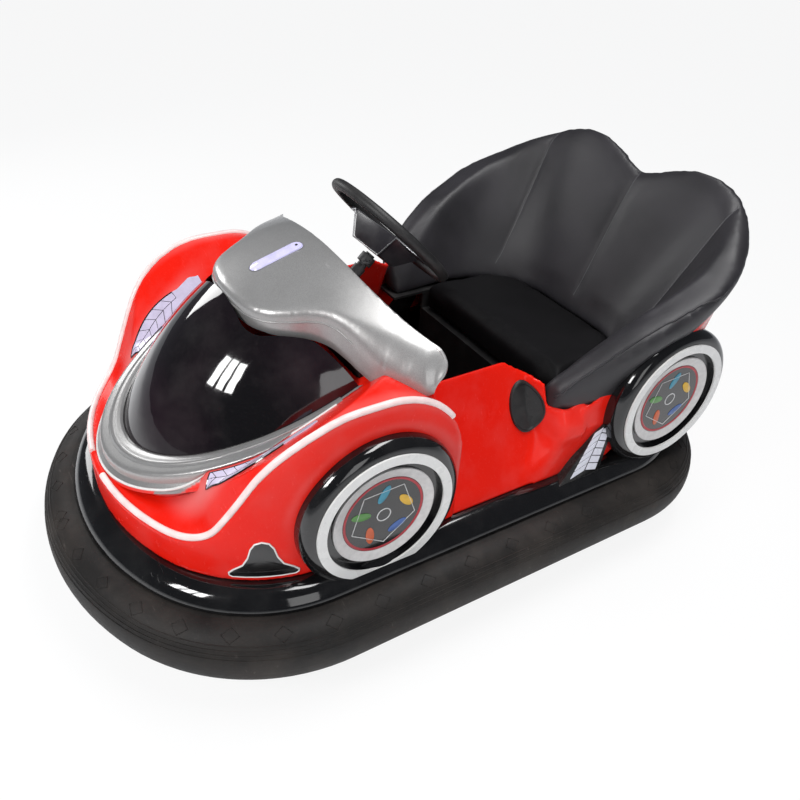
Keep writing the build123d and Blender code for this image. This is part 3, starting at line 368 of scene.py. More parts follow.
def scuff_pattern(tree, vector):
    """Fine stretched lines in patches."""
    stretched = add_node(tree, "Mapping", {"Scale": (9.0, 70.0, 30.0), "Vector": vector,
                                           "Rotation": (0.5, 0.3, 0.9)}).outputs[0]
    thin = ramp(tree, noise(tree, stretched, 1.6, 5.0, 0.7), 0.62, 0.70)
    patches = ramp(tree, noise(tree, vector, 5.0, 2.0, 0.5), 0.45, 0.62)
    return calc(tree, "MULTIPLY", thin, patches)


DUST = mask_group("Dust", dust_pattern)
SCUFFS = mask_group("Scuffs", scuff_pattern)


def masked(tree, group, coords, amount):
    """A shared group's mask at some amount."""
    return add_node(tree, "Group", {"Vector": coords, "Amount": amount},
                    node_tree=group).outputs["Mask"]


def material(name, colour, roughness, metallic=0.0, coat=0.0, coat_roughness=0.05):
    """A new material: its tree, shader and object coordinates."""
    made = bpy.data.materials.new(name)
    made.use_nodes = True
    made.diffuse_color = (*colour, 1.0)
    tree = made.node_tree
    shader = tree.nodes["Principled BSDF"]
    for label, value in (("Base Color", (*colour, 1.0)), ("Roughness", roughness),
                         ("Metallic", metallic), ("Coat Weight", coat),
                         ("Coat Roughness", coat_roughness)):
        shader.inputs[label].default_value = value
    return made, tree, shader, add_node(tree, "TexCoord", {}).outputs["Object"]


def scaled(colour, share):
    """The colour times a number."""
    return tuple(share * part for part in colour)


def paint(name, colour, rough, grain=(60.0, 4.0, 0.6), tones=None, drift=0.18,
          window=(0.35, 0.70), bare=0.0, stain=None, dust=0.10, dirt=(0.35, 0.33, 0.32),
          dirt_share=1.0, dust_rough=1.0, scuffs=0.0, scuff_tone=None, spread=None,
          bumps=((None, 0.08, 0.0008),), specular=None, **more):
    """A finish with uneven tone and gloss: two tones mixed by its grain, then a stain, dust and
    scuffs. Bare is the metal where the second tone shows; spread remaps the grain to the
    roughness; each bump is a pattern, or None for the grain, with its strength and distance."""
    made, tree, shader, coords = material(name, colour, rough, **more)
    if specular is not None:
        shader.inputs["Specular IOR Level"].default_value = specular
    cloud = noise(tree, coords, *grain)
    tone, gloss = colour, rough
    if tones or drift:
        share = ramp(tree, cloud, *window)
        tone = mix(tree, share, *(tones or (colour, scaled(colour, 1 - drift))))
        if bare:
            tree.links.new(calc(tree, "MULTIPLY", share, bare), shader.inputs["Metallic"])
    if stain:
        pattern, limits, stained = stain
        tone = mix(tree, ramp(tree, noise(tree, coords, *pattern), *limits), tone, stained)
    if dust:
        dusty = masked(tree, DUST, coords, dust)
        tone = mix(tree, calc(tree, "MULTIPLY", dusty, dirt_share), tone, dirt)
        gloss = calc(tree, "ADD", calc(tree, "MULTIPLY", dusty, dust_rough), gloss)
    if scuffs:
        scuffed = masked(tree, SCUFFS, coords, scuffs)
        tone = mix(tree, scuffed, tone, scuff_tone) if scuff_tone else tone
        gloss = calc(tree, "ADD", scuffed, gloss)
    if spread:
        gloss = ramp(tree, cloud, *spread)
    tree.links.new(tone, shader.inputs["Base Color"])
    tree.links.new(gloss, shader.inputs["Roughness"])
    for pattern, strength, distance in bumps:
        height = pattern(tree, coords) if callable(pattern) else (
            noise(tree, coords, *pattern) if pattern else cloud)
        made_bump = add_node(tree, "Bump", {"Strength": strength, "Distance": distance,
                                            "Height": height})
        if shader.inputs["Normal"].links:
            tree.links.new(shader.inputs["Normal"].links[0].from_socket,
                           made_bump.inputs["Normal"])
        tree.links.new(made_bump.outputs["Normal"], shader.inputs["Normal"])
    return made


RED = (0.76, 0.011, 0.003)
RED_SHADE = (0.66, 0.008, 0.003)
PALE_RED = (0.70, 0.46, 0.45)


def red_paint(name):
    """Glossy gel coat: slight colour drift, long waves in the gloss, dust and scuffs."""
    return paint(name, RED, 0.24, (2.2, 3.0, 0.5), (RED, RED_SHADE), dust=0.04,
                 dirt=(0.55, 0.52, 0.50), dust_rough=0.5, scuffs=0.35,
                 bumps=(((11.0, 2.0, 0.4), 0.10, 0.004),), specular=0.14, coat=0.07,
                 coat_roughness=0.03)


def silver_paint(name):
    """Silver metallic paint: fine flakes under a clear coat."""
    return paint(name, (0.36, 0.355, 0.35), 0.36, (900.0, 2.0, 0.5),
                 ((0.29, 0.285, 0.28), (0.42, 0.415, 0.41)), window=(0.40, 0.62),
                 stain=((9.0, 4.0, 0.6), (0.45, 0.75, 0.0, 0.35), (0.26, 0.255, 0.25)), dust=0,
                 scuffs=0.25, bumps=((None, 0.06, 0.0008),), metallic=0.55, coat=0.5,
                 coat_roughness=0.08)


def black_gloss(name):
    """Gloss black moulding with dust and hairline scuffs."""
    return paint(name, (0.004, 0.004, 0.0045), 0.08, drift=0, dust=0.07, dirt=(0.12, 0.115, 0.11),
                 dust_rough=1.4, scuffs=0.5, bumps=(((24.0, 2.0, 0.4), 0.10, 0.003),), coat=0.4)


def pebbles(tree, coords):
    """Pebble grain of leatherette."""
    cells = add_node(tree, "TexVoronoi", {"Scale": 520.0, "Vector": coords},
                     feature="DISTANCE_TO_EDGE")
    return ramp(tree, cells.outputs["Distance"], 0.0, 0.12)


def leatherette(name, share=1.0, gloss=0.0):
    """Black leatherette: pebble grain, soft sheen and light creases; a share below 1 darkens its
    tones as painted shade.
    """
    return paint(name, (0.018, 0.017, 0.019), 0.44, (4.5, 5.0, 0.6),
                 (scaled((0.016, 0.015, 0.017), share), scaled((0.026, 0.024, 0.028), share)),
                 dust=0, spread=(0.3, 0.7, 0.38 + gloss, 0.50 + gloss), specular=0.5 * share,
                 bumps=((pebbles, 0.16, 0.0006), ((16.0, 3.0, 0.5), 0.10, 0.004)))


def lamp_white(name, colour, drift=0.14):
    """Milky lamp cover."""
    return paint(name, colour, 0.25, (40.0, 3.0, 0.5), drift=drift, window=(0.35, 0.7), dust=0.12,
                 dirt=(0.45, 0.43, 0.42), dirt_share=4 * drift, bumps=((None, 0.05, 0.001),),
                 coat=0.3)


def faded(made, colour):
    """Mixes a colour into the finish where the piece's fade value is high."""
    tree = made.node_tree
    target = tree.nodes["Principled BSDF"].inputs["Base Color"]
    value = add_node(tree, "Attribute", {}, attribute_name="fade").outputs["Fac"]
    tree.links.new(mix(tree, value, target.links[0].from_socket, colour), target)
    return value


finish = {
    "red_shell": red_paint("RedShell"),
    "silver_shell": silver_paint("SilverPaint"),
    "black_gloss": black_gloss("BlackGloss"),
    # the screen's purplish tone patches are a painted reflection tint
    "dark_screen": paint(
        "ScreenGloss", (0.003, 0.002, 0.003), 0.05, (3.0, 2.0, 0.5),
        ((0.0025, 0.002, 0.0025), (0.009, 0.003, 0.006)), window=(0.4, 0.7), dust=0.05,
        dirt=(0.25, 0.22, 0.22), bumps=(((6.0, 2.0, 0.4), 0.05, 0.004),), coat=0.5,
        coat_roughness=0.02),
    "black_matte": paint(
        "BlackMatte", (0.009, 0.0085, 0.009), 0.50, (420.0, 3.0, 0.6), drift=0, dust=0.15,
        dirt=(0.16, 0.15, 0.14), dust_rough=0.4, bumps=((None, 0.25, 0.0008),)),
    "bumper_rubber": paint(
        "BumperRubber", (0.013, 0.011, 0.010), 0.60, (5.0, 6.0, 0.65),
        ((0.0085, 0.0075, 0.007), (0.026, 0.021, 0.018)), window=(0.38, 0.72), dust=0.22,
        dirt=(0.085, 0.070, 0.060), scuffs=0.6, scuff_tone=(0.11, 0.095, 0.085),
        spread=(0.3, 0.8, 0.50, 0.74), specular=0.3,
        bumps=(((260.0, 4.0, 0.6), 0.30, 0.0010), ((32.0, 3.0, 0.5), 0.25, 0.003))),
    "wheel_rubber": paint(
        "TyreRubber", (0.020, 0.019, 0.018), 0.75, (300.0, 3.0, 0.6), drift=0, dust=0.6,
        dirt=(0.16, 0.14, 0.12), spread=(0.3, 0.7, 0.68, 0.85), bumps=((None, 0.3, 0.001),)),
    "steel": paint(
        "PaintedSteel", (0.035, 0.035, 0.037), 0.40, (60.0, 5.0, 0.7),
        ((0.035, 0.035, 0.037), (0.23, 0.20, 0.18)), window=(0.70, 0.73), bare=0.7, dust=0.25,
        dirt=(0.18, 0.16, 0.14), dust_rough=0.5, bumps=((None, 0.12, 0.001),)),
    "leatherette": leatherette("Leatherette"),
    "white_lens": lamp_white("LampWhite", (0.80, 0.80, 0.84)),
    "white_trim": lamp_white("RingWhite", (0.70, 0.695, 0.68), 0.04),
    "disc_print": black_gloss("DiscGloss"),
}

for entry in frame["record"]["subparts"]:
    for slot in NODES[entry["node"]].material_slots:
        slot.material = finish[entry["material_slot"]]

# ---- plan of the car, its crests and the screen's outline ----
LENGTH, WIDTH = 1.950, 1.272
NOSE_RADIUS, SHOULDER_RADIUS, CORNER_RADIUS, TAIL_RADIUS = 0.760, 0.520, 0.420, 1.270
OVAL_X, OVAL_Y, OVAL_MIDDLE = 0.325, 0.455, -0.285
FRONT_WHEEL = Vector((0.529, -0.301, 0.438))
REAR_WHEEL = Vector((0.540, 0.606, 0.474))


def plan_line(inset, steps):
    """Points of the car's outline moved in by inset, from the nose round the left side."""
    nose = Vector((0.0, NOSE_RADIUS - LENGTH / 2))
    across = WIDTH / 2 - SHOULDER_RADIUS
    shoulder = Vector((across, nose.y - sqrt((NOSE_RADIUS - SHOULDER_RADIUS) ** 2 - across ** 2)))
    tail = Vector((0.0, LENGTH / 2 - TAIL_RADIUS))
    wide = WIDTH / 2 - CORNER_RADIUS
    corner = Vector((wide, tail.y + sqrt((TAIL_RADIUS - CORNER_RADIUS) ** 2 - wide ** 2)))
    turn = atan2(shoulder.y - nose.y, shoulder.x - nose.x)
    bend = atan2(corner.y - tail.y, corner.x - tail.x)
    out = []
    for centre, radius, start, end in ((nose, NOSE_RADIUS, -pi / 2, turn),
                                       (shoulder, SHOULDER_RADIUS, turn, 0.0),
                                       (corner, CORNER_RADIUS, 0.0, bend),
                                       (tail, TAIL_RADIUS, bend, pi / 2)):
        for step in range(steps + 1):
            angle = start + (end - start) * step / steps
            out.append(Vector((centre.x + (radius - inset) * cos(angle),
                               centre.y + (radius - inset) * sin(angle))))
    return out


def both_sides(half):
    """A closed outline from its left half."""
    return half + [Vector((-p.x, p.y)) for p in reversed(half[1:-1])]


def whole_line(inset, steps):
    """The car's closed outline."""
    return both_sides(plan_line(inset, steps))


def crest_z(y):
    """Height of the fender crest's line at a place along the car."""
    theta = radians(62)
    top, ledge, foot, rise, peak, tail = 0.724, 0.402, 0.100, 0.280, -0.345, 0.220
    run = (top - ledge - (foot + rise) * (1 - cos(theta))) / sin(theta)
    foot_y = peak - rise * sin(theta) - run * cos(theta) - foot * sin(theta)
    level_end = peak + 0.055
    if y < foot_y:
        return ledge
    if y < foot_y + foot * sin(theta):
        return ledge + foot - sqrt(foot ** 2 - (y - foot_y) ** 2)
    if y < peak - rise * sin(theta):
        return ledge + foot * (1 - cos(theta)) + (y - foot_y - foot * sin(theta)) * tan(theta)
    if y < peak:
        return top - rise + sqrt(rise ** 2 - (peak - y) ** 2)
    if y < level_end:
        return top
    return top - tail + sqrt(max(tail ** 2 - (y - level_end) ** 2, 0.0))


def deck_z(y):
    """Height of the screen's deck."""
    return 0.460 + (y + 0.737) * tan(radians(23.3))


def oval(angle, side=0.0):
    """Place on the screen's oval outline, moved out by side."""
    return (OVAL_X + side) * cos(angle), OVAL_MIDDLE + (OVAL_Y + side) * sin(angle)


def band_width(angle):
    """Width of the collar, greatest at the nose."""
    return 0.048 + 0.024 * sin(angle) ** 2


def crest_line(inset, start_x, end_y):
    """Evenly spaced points along the left crest."""
    line = [p for p in plan_line(inset, 60) if p.x >= start_x and p.y <= end_y]
    line.append(Vector((line[-1].x, end_y)))
    points = [Vector((p.x, p.y, crest_z(p.y))) for p in line]
    fine = []
    for first, second in zip(points, points[1:]):
        parts = max(1, int((second - first).length / 0.006))
        for part in range(parts):
            x, y, _ = first.lerp(second, part / parts)
            fine.append(Vector((x, y, crest_z(y))))
    return fine


# ---- body shells ----


def painted_highlights_front(co):
    """Painted highlights in pale red along the crests, the fenders' rear rim and the front wheel's
    arch, and a pale band just outside the collar.
    """
    x = abs(co.x)
    # painted highlight along the rounded crests
    rim = 1 - ease(0.0, 0.030, abs(co.z - crest_z(co.y)) + max(0.0, 0.47 - x) * 0.8)
    rim *= ease(-0.66, -0.35, co.y) * 0.12
    # painted highlight on the fenders' rear rim
    tail = ease(-0.100, -0.070, co.y) * ease(0.45, 0.487, x) * ease(0.36, 0.44, co.z) * 0.20
    # painted highlight round the front wheel's arch
    arch = (co.yz - FRONT_WHEEL.yz).length
    glow = (1 - ease(0.0, 0.020, abs(arch - 0.225))) * ease(0.46, 0.487, x) * 0.06
    glow *= ease(0.40, 0.52, co.z)
    # pale band just outside the collar, towards the nose
    egg = sqrt((x / OVAL_X) ** 2 + ((co.y - OVAL_MIDDLE) / OVAL_Y) ** 2)
    flank = (1 - ease(0.0, 0.16, abs(egg - 1.20))) * ease(-0.73, -0.66, co.y)
    flank *= (1 - ease(-0.50, -0.36, co.y)) * 0.25
    return min(max(rim, tail, glow, flank), 1.0)


def build_front_body():
    """Red front moulding with rounded crests and painted highlights in pale red."""
    piece = node_copy("FrontBody", "nose_shell")
    outer_skin(piece)
    modify(piece, wall(0.014, even=True), remeshed(0.0062), soften(10))
    smooth(piece, 60)
    # the fade value mixes painted highlights in pale red into the red paint
    paint_fade(piece, painted_highlights_front)
    made = red_paint("RedPaintedHighlights")
    faded(made, PALE_RED)
    return finish_piece(piece, made, slot="red_shell", replaces=("nose_shell",))


def side_x(y, z):
    """Half width of the red side: the recessed cockpit side that swells into the rear body."""
    rise = z - 0.300
    recess = 0.484 - 0.148 * rise / 0.315
    share = rise / 0.515
    rear = 0.491 * (1 - share) + (0.400 + 0.318 * max(y - 0.2, 0.0)) * share
    rear += 0.015 * ease(0.24, 0.265, y) * (1 - ease(0.33, 0.37, y)) * (
        1 - ease(0.01, 0.07, abs(z - 0.440)))
    start = 0.150 + 0.055 * ease(0.33, 0.42, z)
    tuck = ease(0.0, 0.030, z - 0.450 - 0.65 * (y - 0.2)) * ease(0.243, 0.264, y)
    return recess + (rear - recess) * ease(start, start + 0.075, y) - 0.026 * tuck


def side_top(y):
    """Top edge of the red side: level beside the driver, then down under the armrest."""
    if y < 0.155:
        return 0.615
    if y < 0.243:
        return 0.615 - 0.055 * (y - 0.155) / 0.088
    return max(0.505, 0.440 + 0.65 * (y - 0.2))


def side_wall(side):
    """One red side as a curved wall."""
    columns, rows = 92, 44
    start_y, length, foot = -0.0697, 0.4097, 0.3005
    vertices = []
    for column in range(columns + 1):
        y = start_y + length * column / columns
        for row in range(rows + 1):
            z = foot + (side_top(y) - foot) * row / rows
            vertices.append((side * side_x(y, z), y, z))
    faces = quads(columns + 1, rows + 1, turned=True)
    return sheet("SideWall", vertices, [face[::side] for face in faces])


def build_rear_body():
    """Red cockpit sides and rear moulding in one, with pale stripes on its quarters."""
    piece = node_copy("RearBody", "rear_shell")
    outer_skin(piece)
    edit(piece, (MESH.bisect, {"plane_co": (0, 0.325, 0), "plane_no": (0, 1, 0),
                               "clear_inner": True}))
    piece = joined("RearBody", [piece, side_wall(1), side_wall(-1)])
    modify(piece, wall(0.011, even=True), remeshed(0.0058), soften(6))
    bend = piece.vertex_groups.new(name="Bend")
    for vertex in piece.data.vertices:
        co = vertex.co
        amount = ease(0.19, 0.25, co.y) * (1 - ease(0.38, 0.44, co.y))
        amount *= ease(0.31, 0.33, co.z) * (1 - ease(0.39, 0.43, co.z))
        if amount > 0.01:
            bend.add([vertex.index], amount, "REPLACE")
    modify(piece, soften(60, "Bend"))
    smooth(piece, 60)

    def stripe(co):
        drop = 0.481 + 0.65 * (co.y - 0.297) - co.z
        band = ease(0.020, 0.030, drop) * (1 - ease(0.055, 0.070, drop))
        return band * ease(0.62, 0.72, co.y) * 0.9

    paint_fade(piece, stripe)
    made = red_paint("RearRed")
    faded(made, PALE_RED)
    return finish_piece(piece, made, slot="red_shell",
                        replaces=("rear_shell", "waist_panel_left", "waist_panel_right"))


def build_collar():
    """Silver collar: a rounded band that fades into the red below it."""
    piece = node_copy("Collar", "nose_surround")
    modify(piece, remeshed(0.0033), soften(30))
    smooth(piece, 60)
    paint_fade(piece, lambda co: ease(0.036, 0.062, deck_z(co.y) - co.z))
    made = silver_paint("CollarPaint")
    value = faded(made, RED)
    tree = made.node_tree
    metal = calc(tree, "MULTIPLY", calc(tree, "SUBTRACT", 1.0, value), 0.62)
    tree.links.new(metal, tree.nodes["Principled BSDF"].inputs["Metallic"])
    finish_piece(piece, made, slot="silver_shell", replaces=("nose_surround",))


def curve_through(points, parts=8):
    """Smooth curve through plan points."""
    out = []
    padded = [Vector(p) for p in (points[0], *points, points[-1])]
    for a, b, c, d in zip(padded, padded[1:], padded[2:], padded[3:]):
        for part in range(parts):
            t = part / parts
            out.append(0.5 * (2 * b + (c - a) * t + (2 * a - 5 * b + 4 * c - d) * t ** 2
                              + (3 * b - a - 3 * c + d) * t ** 3))
    return out + [padded[-1]]


def between(table, x):
    """Value read from a short table of pairs."""
    for (low, first), (high, second) in zip(table, table[1:]):
        if x <= high:
            return first + (second - first) * max(x - low, 0.0) / (high - low)
    return table[-1][1]


COWL_FRONT = ((0.0, -0.466), (0.060, -0.461), (0.115, -0.447), (0.158, -0.420), (0.190, -0.380),
              (0.216, -0.338), (0.245, -0.305), (0.280, -0.282), (0.320, -0.262),
              (0.360, -0.241), (0.400, -0.216), (0.432, -0.191), (0.451, -0.173),
              (0.459, -0.150))
COWL_REAR = ((0.459, -0.150), (0.461, -0.128), (0.449, -0.114), (0.424, -0.115),
             (0.390, -0.132), (0.340, -0.155), (0.280, -0.175), (0.200, -0.192),
             (0.100, -0.202), (0.0, -0.205))
COWL_DEPTH = ((0.0, 0.048), (0.15, 0.056), (0.20, 0.070), (0.235, 0.084), (0.27, 0.096),
              (0.31, 0.106), (0.355, 0.110), (0.40, 0.092), (0.44, 0.064), (0.475, 0.036))
COWL_ROLL = ((0.0, 0.015), (0.235, 0.017), (0.27, 0.024), (0.31, 0.040), (0.355, 0.058),
             (0.40, 0.060), (0.44, 0.048), (0.475, 0.030))
COWL_PITCH = radians(17.6)
COWL_CROWN = 0.700


def build_cowl():
    """Silver cowl: a crowned hood with a deep rolled lip, whose wings lean over the fenders."""
    front, rear = curve_through(COWL_FRONT), curve_through(COWL_REAR)
    ring = both_sides(front + rear[1:])

    def front_gap(x, y):
        return min((Vector((x, y)) - p).length for p in front)

    def top(point):
        x, y = abs(point[0]), point[1]
        arch = 0.892 + (y + 0.228) * tan(COWL_PITCH)
        arch -= (COWL_CROWN - sqrt(COWL_CROWN ** 2 - x ** 2)) / cos(COWL_PITCH)
        # the middle rolls down towards the rear edge
        arch -= 1.6 * max(y + 0.30, 0.0) ** 2 * max(1 - (x / 0.42) ** 2, 0.0)
        roll = between(COWL_ROLL, x)
        share = 1 - min(front_gap(x, y) / roll, 1.0)
        return arch - roll * (1 - sqrt(max(1 - share ** 2, 0.0)))

    spots = list(ring)
    for first, second in zip(front, front[1:]):
        way = Vector((first.y - second.y, second.x - first.x)).normalized()
        for offset in (0.0015, 0.0035, 0.0065, 0.0105, 0.016):
            spot = (first + second) / 2 + way * offset
            if abs(spot.x) < 0.462:
                spots += [Vector((side * spot.x, spot.y)) for side in (1, -1)]
    spots += [Vector((column * 0.008 + 0.0003, -0.470 + row * 0.008))
              for column in range(-60, 61) for row in range(46)]
    flat, _, faces, kept, _, _ = delaunay_2d_cdt(spots, [], [list(range(len(ring)))], 1, 1e-5)
    where = {old: new for new, olds in enumerate(kept) for old in olds}
    vertices = [Vector((p.x, p.y, top(p))) for p in flat]
    faces = [tuple(face) for face in faces]
    upper = [where[k] for k in range(len(ring))]
    edge = [vertices[k].copy() for k in upper]
    drops = []
    for spot in edge:
        x = abs(spot.x)
        on_front = front_gap(x, spot.y) < 0.0005
        drops.append(between(COWL_DEPTH, x) - between(COWL_ROLL, x) if on_front else 0.010)
    rows = 7
    for row in range(1, rows + 1):
        lower = range(len(vertices), len(vertices) + len(edge))
        vertices += [spot - Vector((0, 0, deep * row / rows)) for spot, deep in zip(edge, drops)]
        for k in range(len(edge)):
            after = (k + 1) % len(edge)
            faces.append((upper[k], lower[k], lower[after], upper[after]))
        upper = lower
    piece = sheet("CowlCover", vertices, faces)
    edit(piece, (MESH.delete_loose, {}), OUTWARD)
    modify(piece, wall(0.007, even=True), soften(4))
    smooth(piece, 50)
    finish_piece(piece, finish["silver_shell"], slot="silver_shell", replaces=("cowl",))
    bead = [(side * p.x, p.y, top(p) - 0.010) for side in (-1, 1)
            for p in (reversed(front) if side < 0 else front[1:]) if p.x < 0.300]
    line = tube("CowlBead", snapped(bead, surface(piece), 0.0004), 0.0022, sides=2)
    finish_piece(line, finish["silver_shell"])
    return piece


def build_collar_band():
    """Silver band round the screen: flat inner face, crisp ridge and sloping outer face."""
    section = ((-0.05, -0.012), (-0.04, 0.001), (0.0, 0.0070), (0.08, 0.0098), (0.22, 0.0105),
               (0.36, 0.0096), (0.42, 0.0108), (0.46, 0.0096), (0.50, 0.0045), (0.57, -0.0025),
               (0.74, -0.0155), (0.92, -0.0290), (1.02, -0.0370), (1.06, -0.0440))
    fine = split(section, 4) + [Vector(section[-1])]
    steps = 300
    vertices = []
    for step in range(steps + 1):
        angle = radians(-176 + 172 * step / steps)
        inner = oval(angle)[1]
        for share, rise in fine:
            x, y = oval(angle, band_width(angle) * share)
            vertices.append((x, y, deck_z(inner + 0.6 * (y - inner)) + rise))
    piece = sheet("CollarBand", vertices, quads(steps + 1, len(fine)))
    if sum(1 if face.normal.z > 0 else -1 for face in piece.data.polygons) < 0:
        edit(piece, FLIP)
    modify(piece, wall(0.003))
    smooth(piece, 35)
    return finish_piece(piece, bpy.data.materials["CollarPaint"])


def build_collar_line(piece, body):
    """White line along the valley between the collar and the red body."""
    band = surface(piece)
    start, sweep, steps = -174, 168, 180

    def heights(angle, share):
        x, y = oval(angle, band_width(angle) * share)
        hits = [tree.ray_cast(Vector((x, y, 1.0)), DOWN)[0] for tree in (band, body)]
        return x, y, hits[0].z if hits[0] else 0.0, hits[1].z if hits[1] else 0.0

    angles = [radians(start + sweep * step / steps) for step in range(steps + 1)]
    shares = []
    for angle in angles:
        share = 0.48
        while share < 1.0:
            _, _, over, under = heights(angle, share)
            if under > over:
                break
            share += 0.02
        shares.append(share)
    shares = evened(shares, 40)

    def beyond(co):
        angle = atan2((co.y - OVAL_MIDDLE) / (OVAL_Y + 0.030), co.x / (OVAL_X + 0.030))
        if abs(co.x) > 0.2:
            side = co.x / cos(angle) - OVAL_X
        else:
            side = (co.y - OVAL_MIDDLE) / sin(angle) - OVAL_Y
        place = min(max(int(round((degrees(angle) - start) / sweep * steps)), 0), steps)
        return ease(0.0, 0.05, side / band_width(angle) - shares[place] - 0.01)

    paint_fade(piece, beyond)
    points = []
    for angle, share in zip(angles, shares):
        x, y, over, under = heights(angle, share)
        points.append(Vector((x, y, max(over, under))))
    finish_piece(tube("CollarLine", evened(points, 4), 0.0034), finish["white_trim"])


def build_strips(tree):
    """Light strips snapped to the rounded crests: milky silicone, pinkish over the red body."""
    line = snapped(crest_line(0.1520, 0.046, -0.105), tree, 0.0005)
    glow = paint("StripMilk", (0.80, 0.62, 0.60), 0.30, (30.0, 3.0, 0.5),
                 ((0.84, 0.68, 0.66), (0.74, 0.55, 0.53)), dust=0, spread=(0.3, 0.7, 0.24, 0.40),
                 bumps=((None, 0.08, 0.001),), coat=0.2)
    finish_pair(tube("CrestStripLeft", line, 0.0082), glow, "white_lens", "light_strip")


# ---- seat ----
SEAMS = (-1, 0, 1)


def seam_x(seam, z):
    """The side seams lean outwards towards the top."""
    return seam * (0.300 + 0.155 * (z - 0.5))


def blow_up(piece, cap):
    """Cloth under pressure for a few frames, each point moved by cap at most."""
    pressure, frames = 4.0, 20
    before = [v.co.copy() for v in piece.data.vertices]
    cloth = piece.modifiers.new("Cloth", "CLOTH")
    settings = cloth.settings
    settings.use_pressure = True
    settings.uniform_pressure_force = pressure
    settings.effector_weights.gravity = 0
    settings.quality = 4
    settings.tension_stiffness = settings.compression_stiffness = 15
    settings.bending_stiffness = 4
    cloth.collision_settings.use_collision = False
    cloth.point_cache.frame_start = 1
    cloth.point_cache.frame_end = frames
    for step in range(1, frames + 1):
        SCENE.frame_set(step)
    take(piece)
    bpy.ops.object.modifier_apply(modifier="Cloth")
    SCENE.frame_set(1)
    for vertex, start in zip(piece.data.vertices, before):
        shift = vertex.co - start
        if shift.length > cap:
            vertex.co = start + shift.normalized() * cap
    modify(piece, soften(4))


def upholster(piece, voxel, passes, swell, cap):
    """Even quads blown up as a cover over foam, then one subdivision."""
    modify(piece, remeshed(voxel), soften(passes))
    move_vertices(piece, lambda co, n: n * swell)
    blow_up(piece, cap)
    modify(piece, FINER)


def bell(gap, width):
    """Bell curve, 1 on the seam."""
    return 2.718 ** (-(gap / width) ** 2)


def build_seat_tub():
    """Back and armrests as one upholstered tub with sewn panels."""
    piece = node_copy("SeatTub", "seat_back", "armrest_left", "armrest_right")
    upholster(piece, 0.0110, 42, 0.002, 0.006)

    def seams(co, normal):
        inward = ease(0.10, 0.45, -normal.y) * ease(0.50, 0.56, co.z) * ease(0.56, 0.66, co.y)
        gaps = [abs(co.x - seam_x(seam, co.z)) for seam in SEAMS]
        depth = sum(0.0022 * bell(gap, 0.008) + 0.0030 * bell(gap, 0.026) for gap in gaps)
        share = abs(co.x) / seam_x(1, co.z)
        crown = 0.004 * sin(pi * share) if share < 1 else 0.0
        return normal * inward * (crown - depth)

    move_vertices(piece, seams)
    smooth(piece, 60)
    finish_piece(piece, finish["leatherette"], slot="leatherette",
                 replaces=("seat_back", "armrest_left", "armrest_right"))
    return piece


def build_cushion():
    """Seat cushion: a crowned pad, in a darker copy of the leatherette that is painted shade."""
    piece = node_copy("SeatPad", "seat_cushion")
    upholster(piece, 0.0075, 10, -0.007, 0.012)
    smooth(piece, 60)
    # darker copy of the leatherette at a quarter of its tone: painted shade on the cushion
    finish_piece(piece, leatherette("LeatherettePaintedShade", 0.25, 0.15), slot="leatherette",
                 replaces=("seat_cushion",))


def build_seams(tree):
    """Sewn seam lines on the back and piping along the armrests' shoulders."""
    pieces = []
    for seam in SEAMS:
        points = []
        for z in (0.515 + 0.455 * step / 59 for step in range(60)):
            spot, normal, _, _ = tree.ray_cast(Vector((seam_x(seam, z), 0.30, z)),
                                               Vector((0, 1, 0)))
            if spot is not None:
                points.append(spot + normal * 0.0002)
        pieces.append(tube("SeamLine", points, 0.0007, sides=1))
    thread = paint("SeamThread", (0.10, 0.10, 0.105), 0.6, (700.0, 2.0, 0.5),
                   ((0.07, 0.07, 0.075), (0.15, 0.15, 0.155)), window=(0.4, 0.6), dust=0,
                   spread=(0.3, 0.7, 0.5, 0.7), bumps=((None, 0.2, 0.0005),))
    finish_piece(joined("SeatSeams", pieces), thread)
    path = split([(0.433, 0.262, 0.532), (0.452, 0.30, 0.575), (0.476, 0.354, 0.625),
                  (0.503, 0.445, 0.690), (0.520, 0.54, 0.733), (0.530, 0.62, 0.765),
                  (0.536, 0.70, 0.795)], 12)
    lines = []
    for side in (1, -1):
        dense = [(side * point.x, point.y, point.z) for point in path]
        lines.append(tube("Piping", snapped(dense, tree, 0.0006), 0.0026, sides=2))
    finish_piece(joined("SeatPiping", lines), finish["leatherette"])


# ---- ports, lamps and badges ----


def patch(name, rings, lifts, tree, origin, way, thick):
    """A closed patch on a surface: rings of points cast along way, from the rim to the middle."""
    vertices = []
    for ring, lift in zip(rings, lifts):
        for point in ring:
            spot = (tree.ray_cast(Vector(point) + origin, way)[0]
                    or tree.find_nearest(Vector(point))[0])
            vertices.append(spot - way * lift)
    count = len(rings[0])
    faces = quads(len(rings), count, closed=True)
    faces.append(tuple(range(len(vertices) - count, len(vertices))))
    piece = sheet(name, vertices, faces)
    edit(piece, OUTWARD)
    modify(piece, wall(thick, offset=0))
    smooth(piece)
    return piece


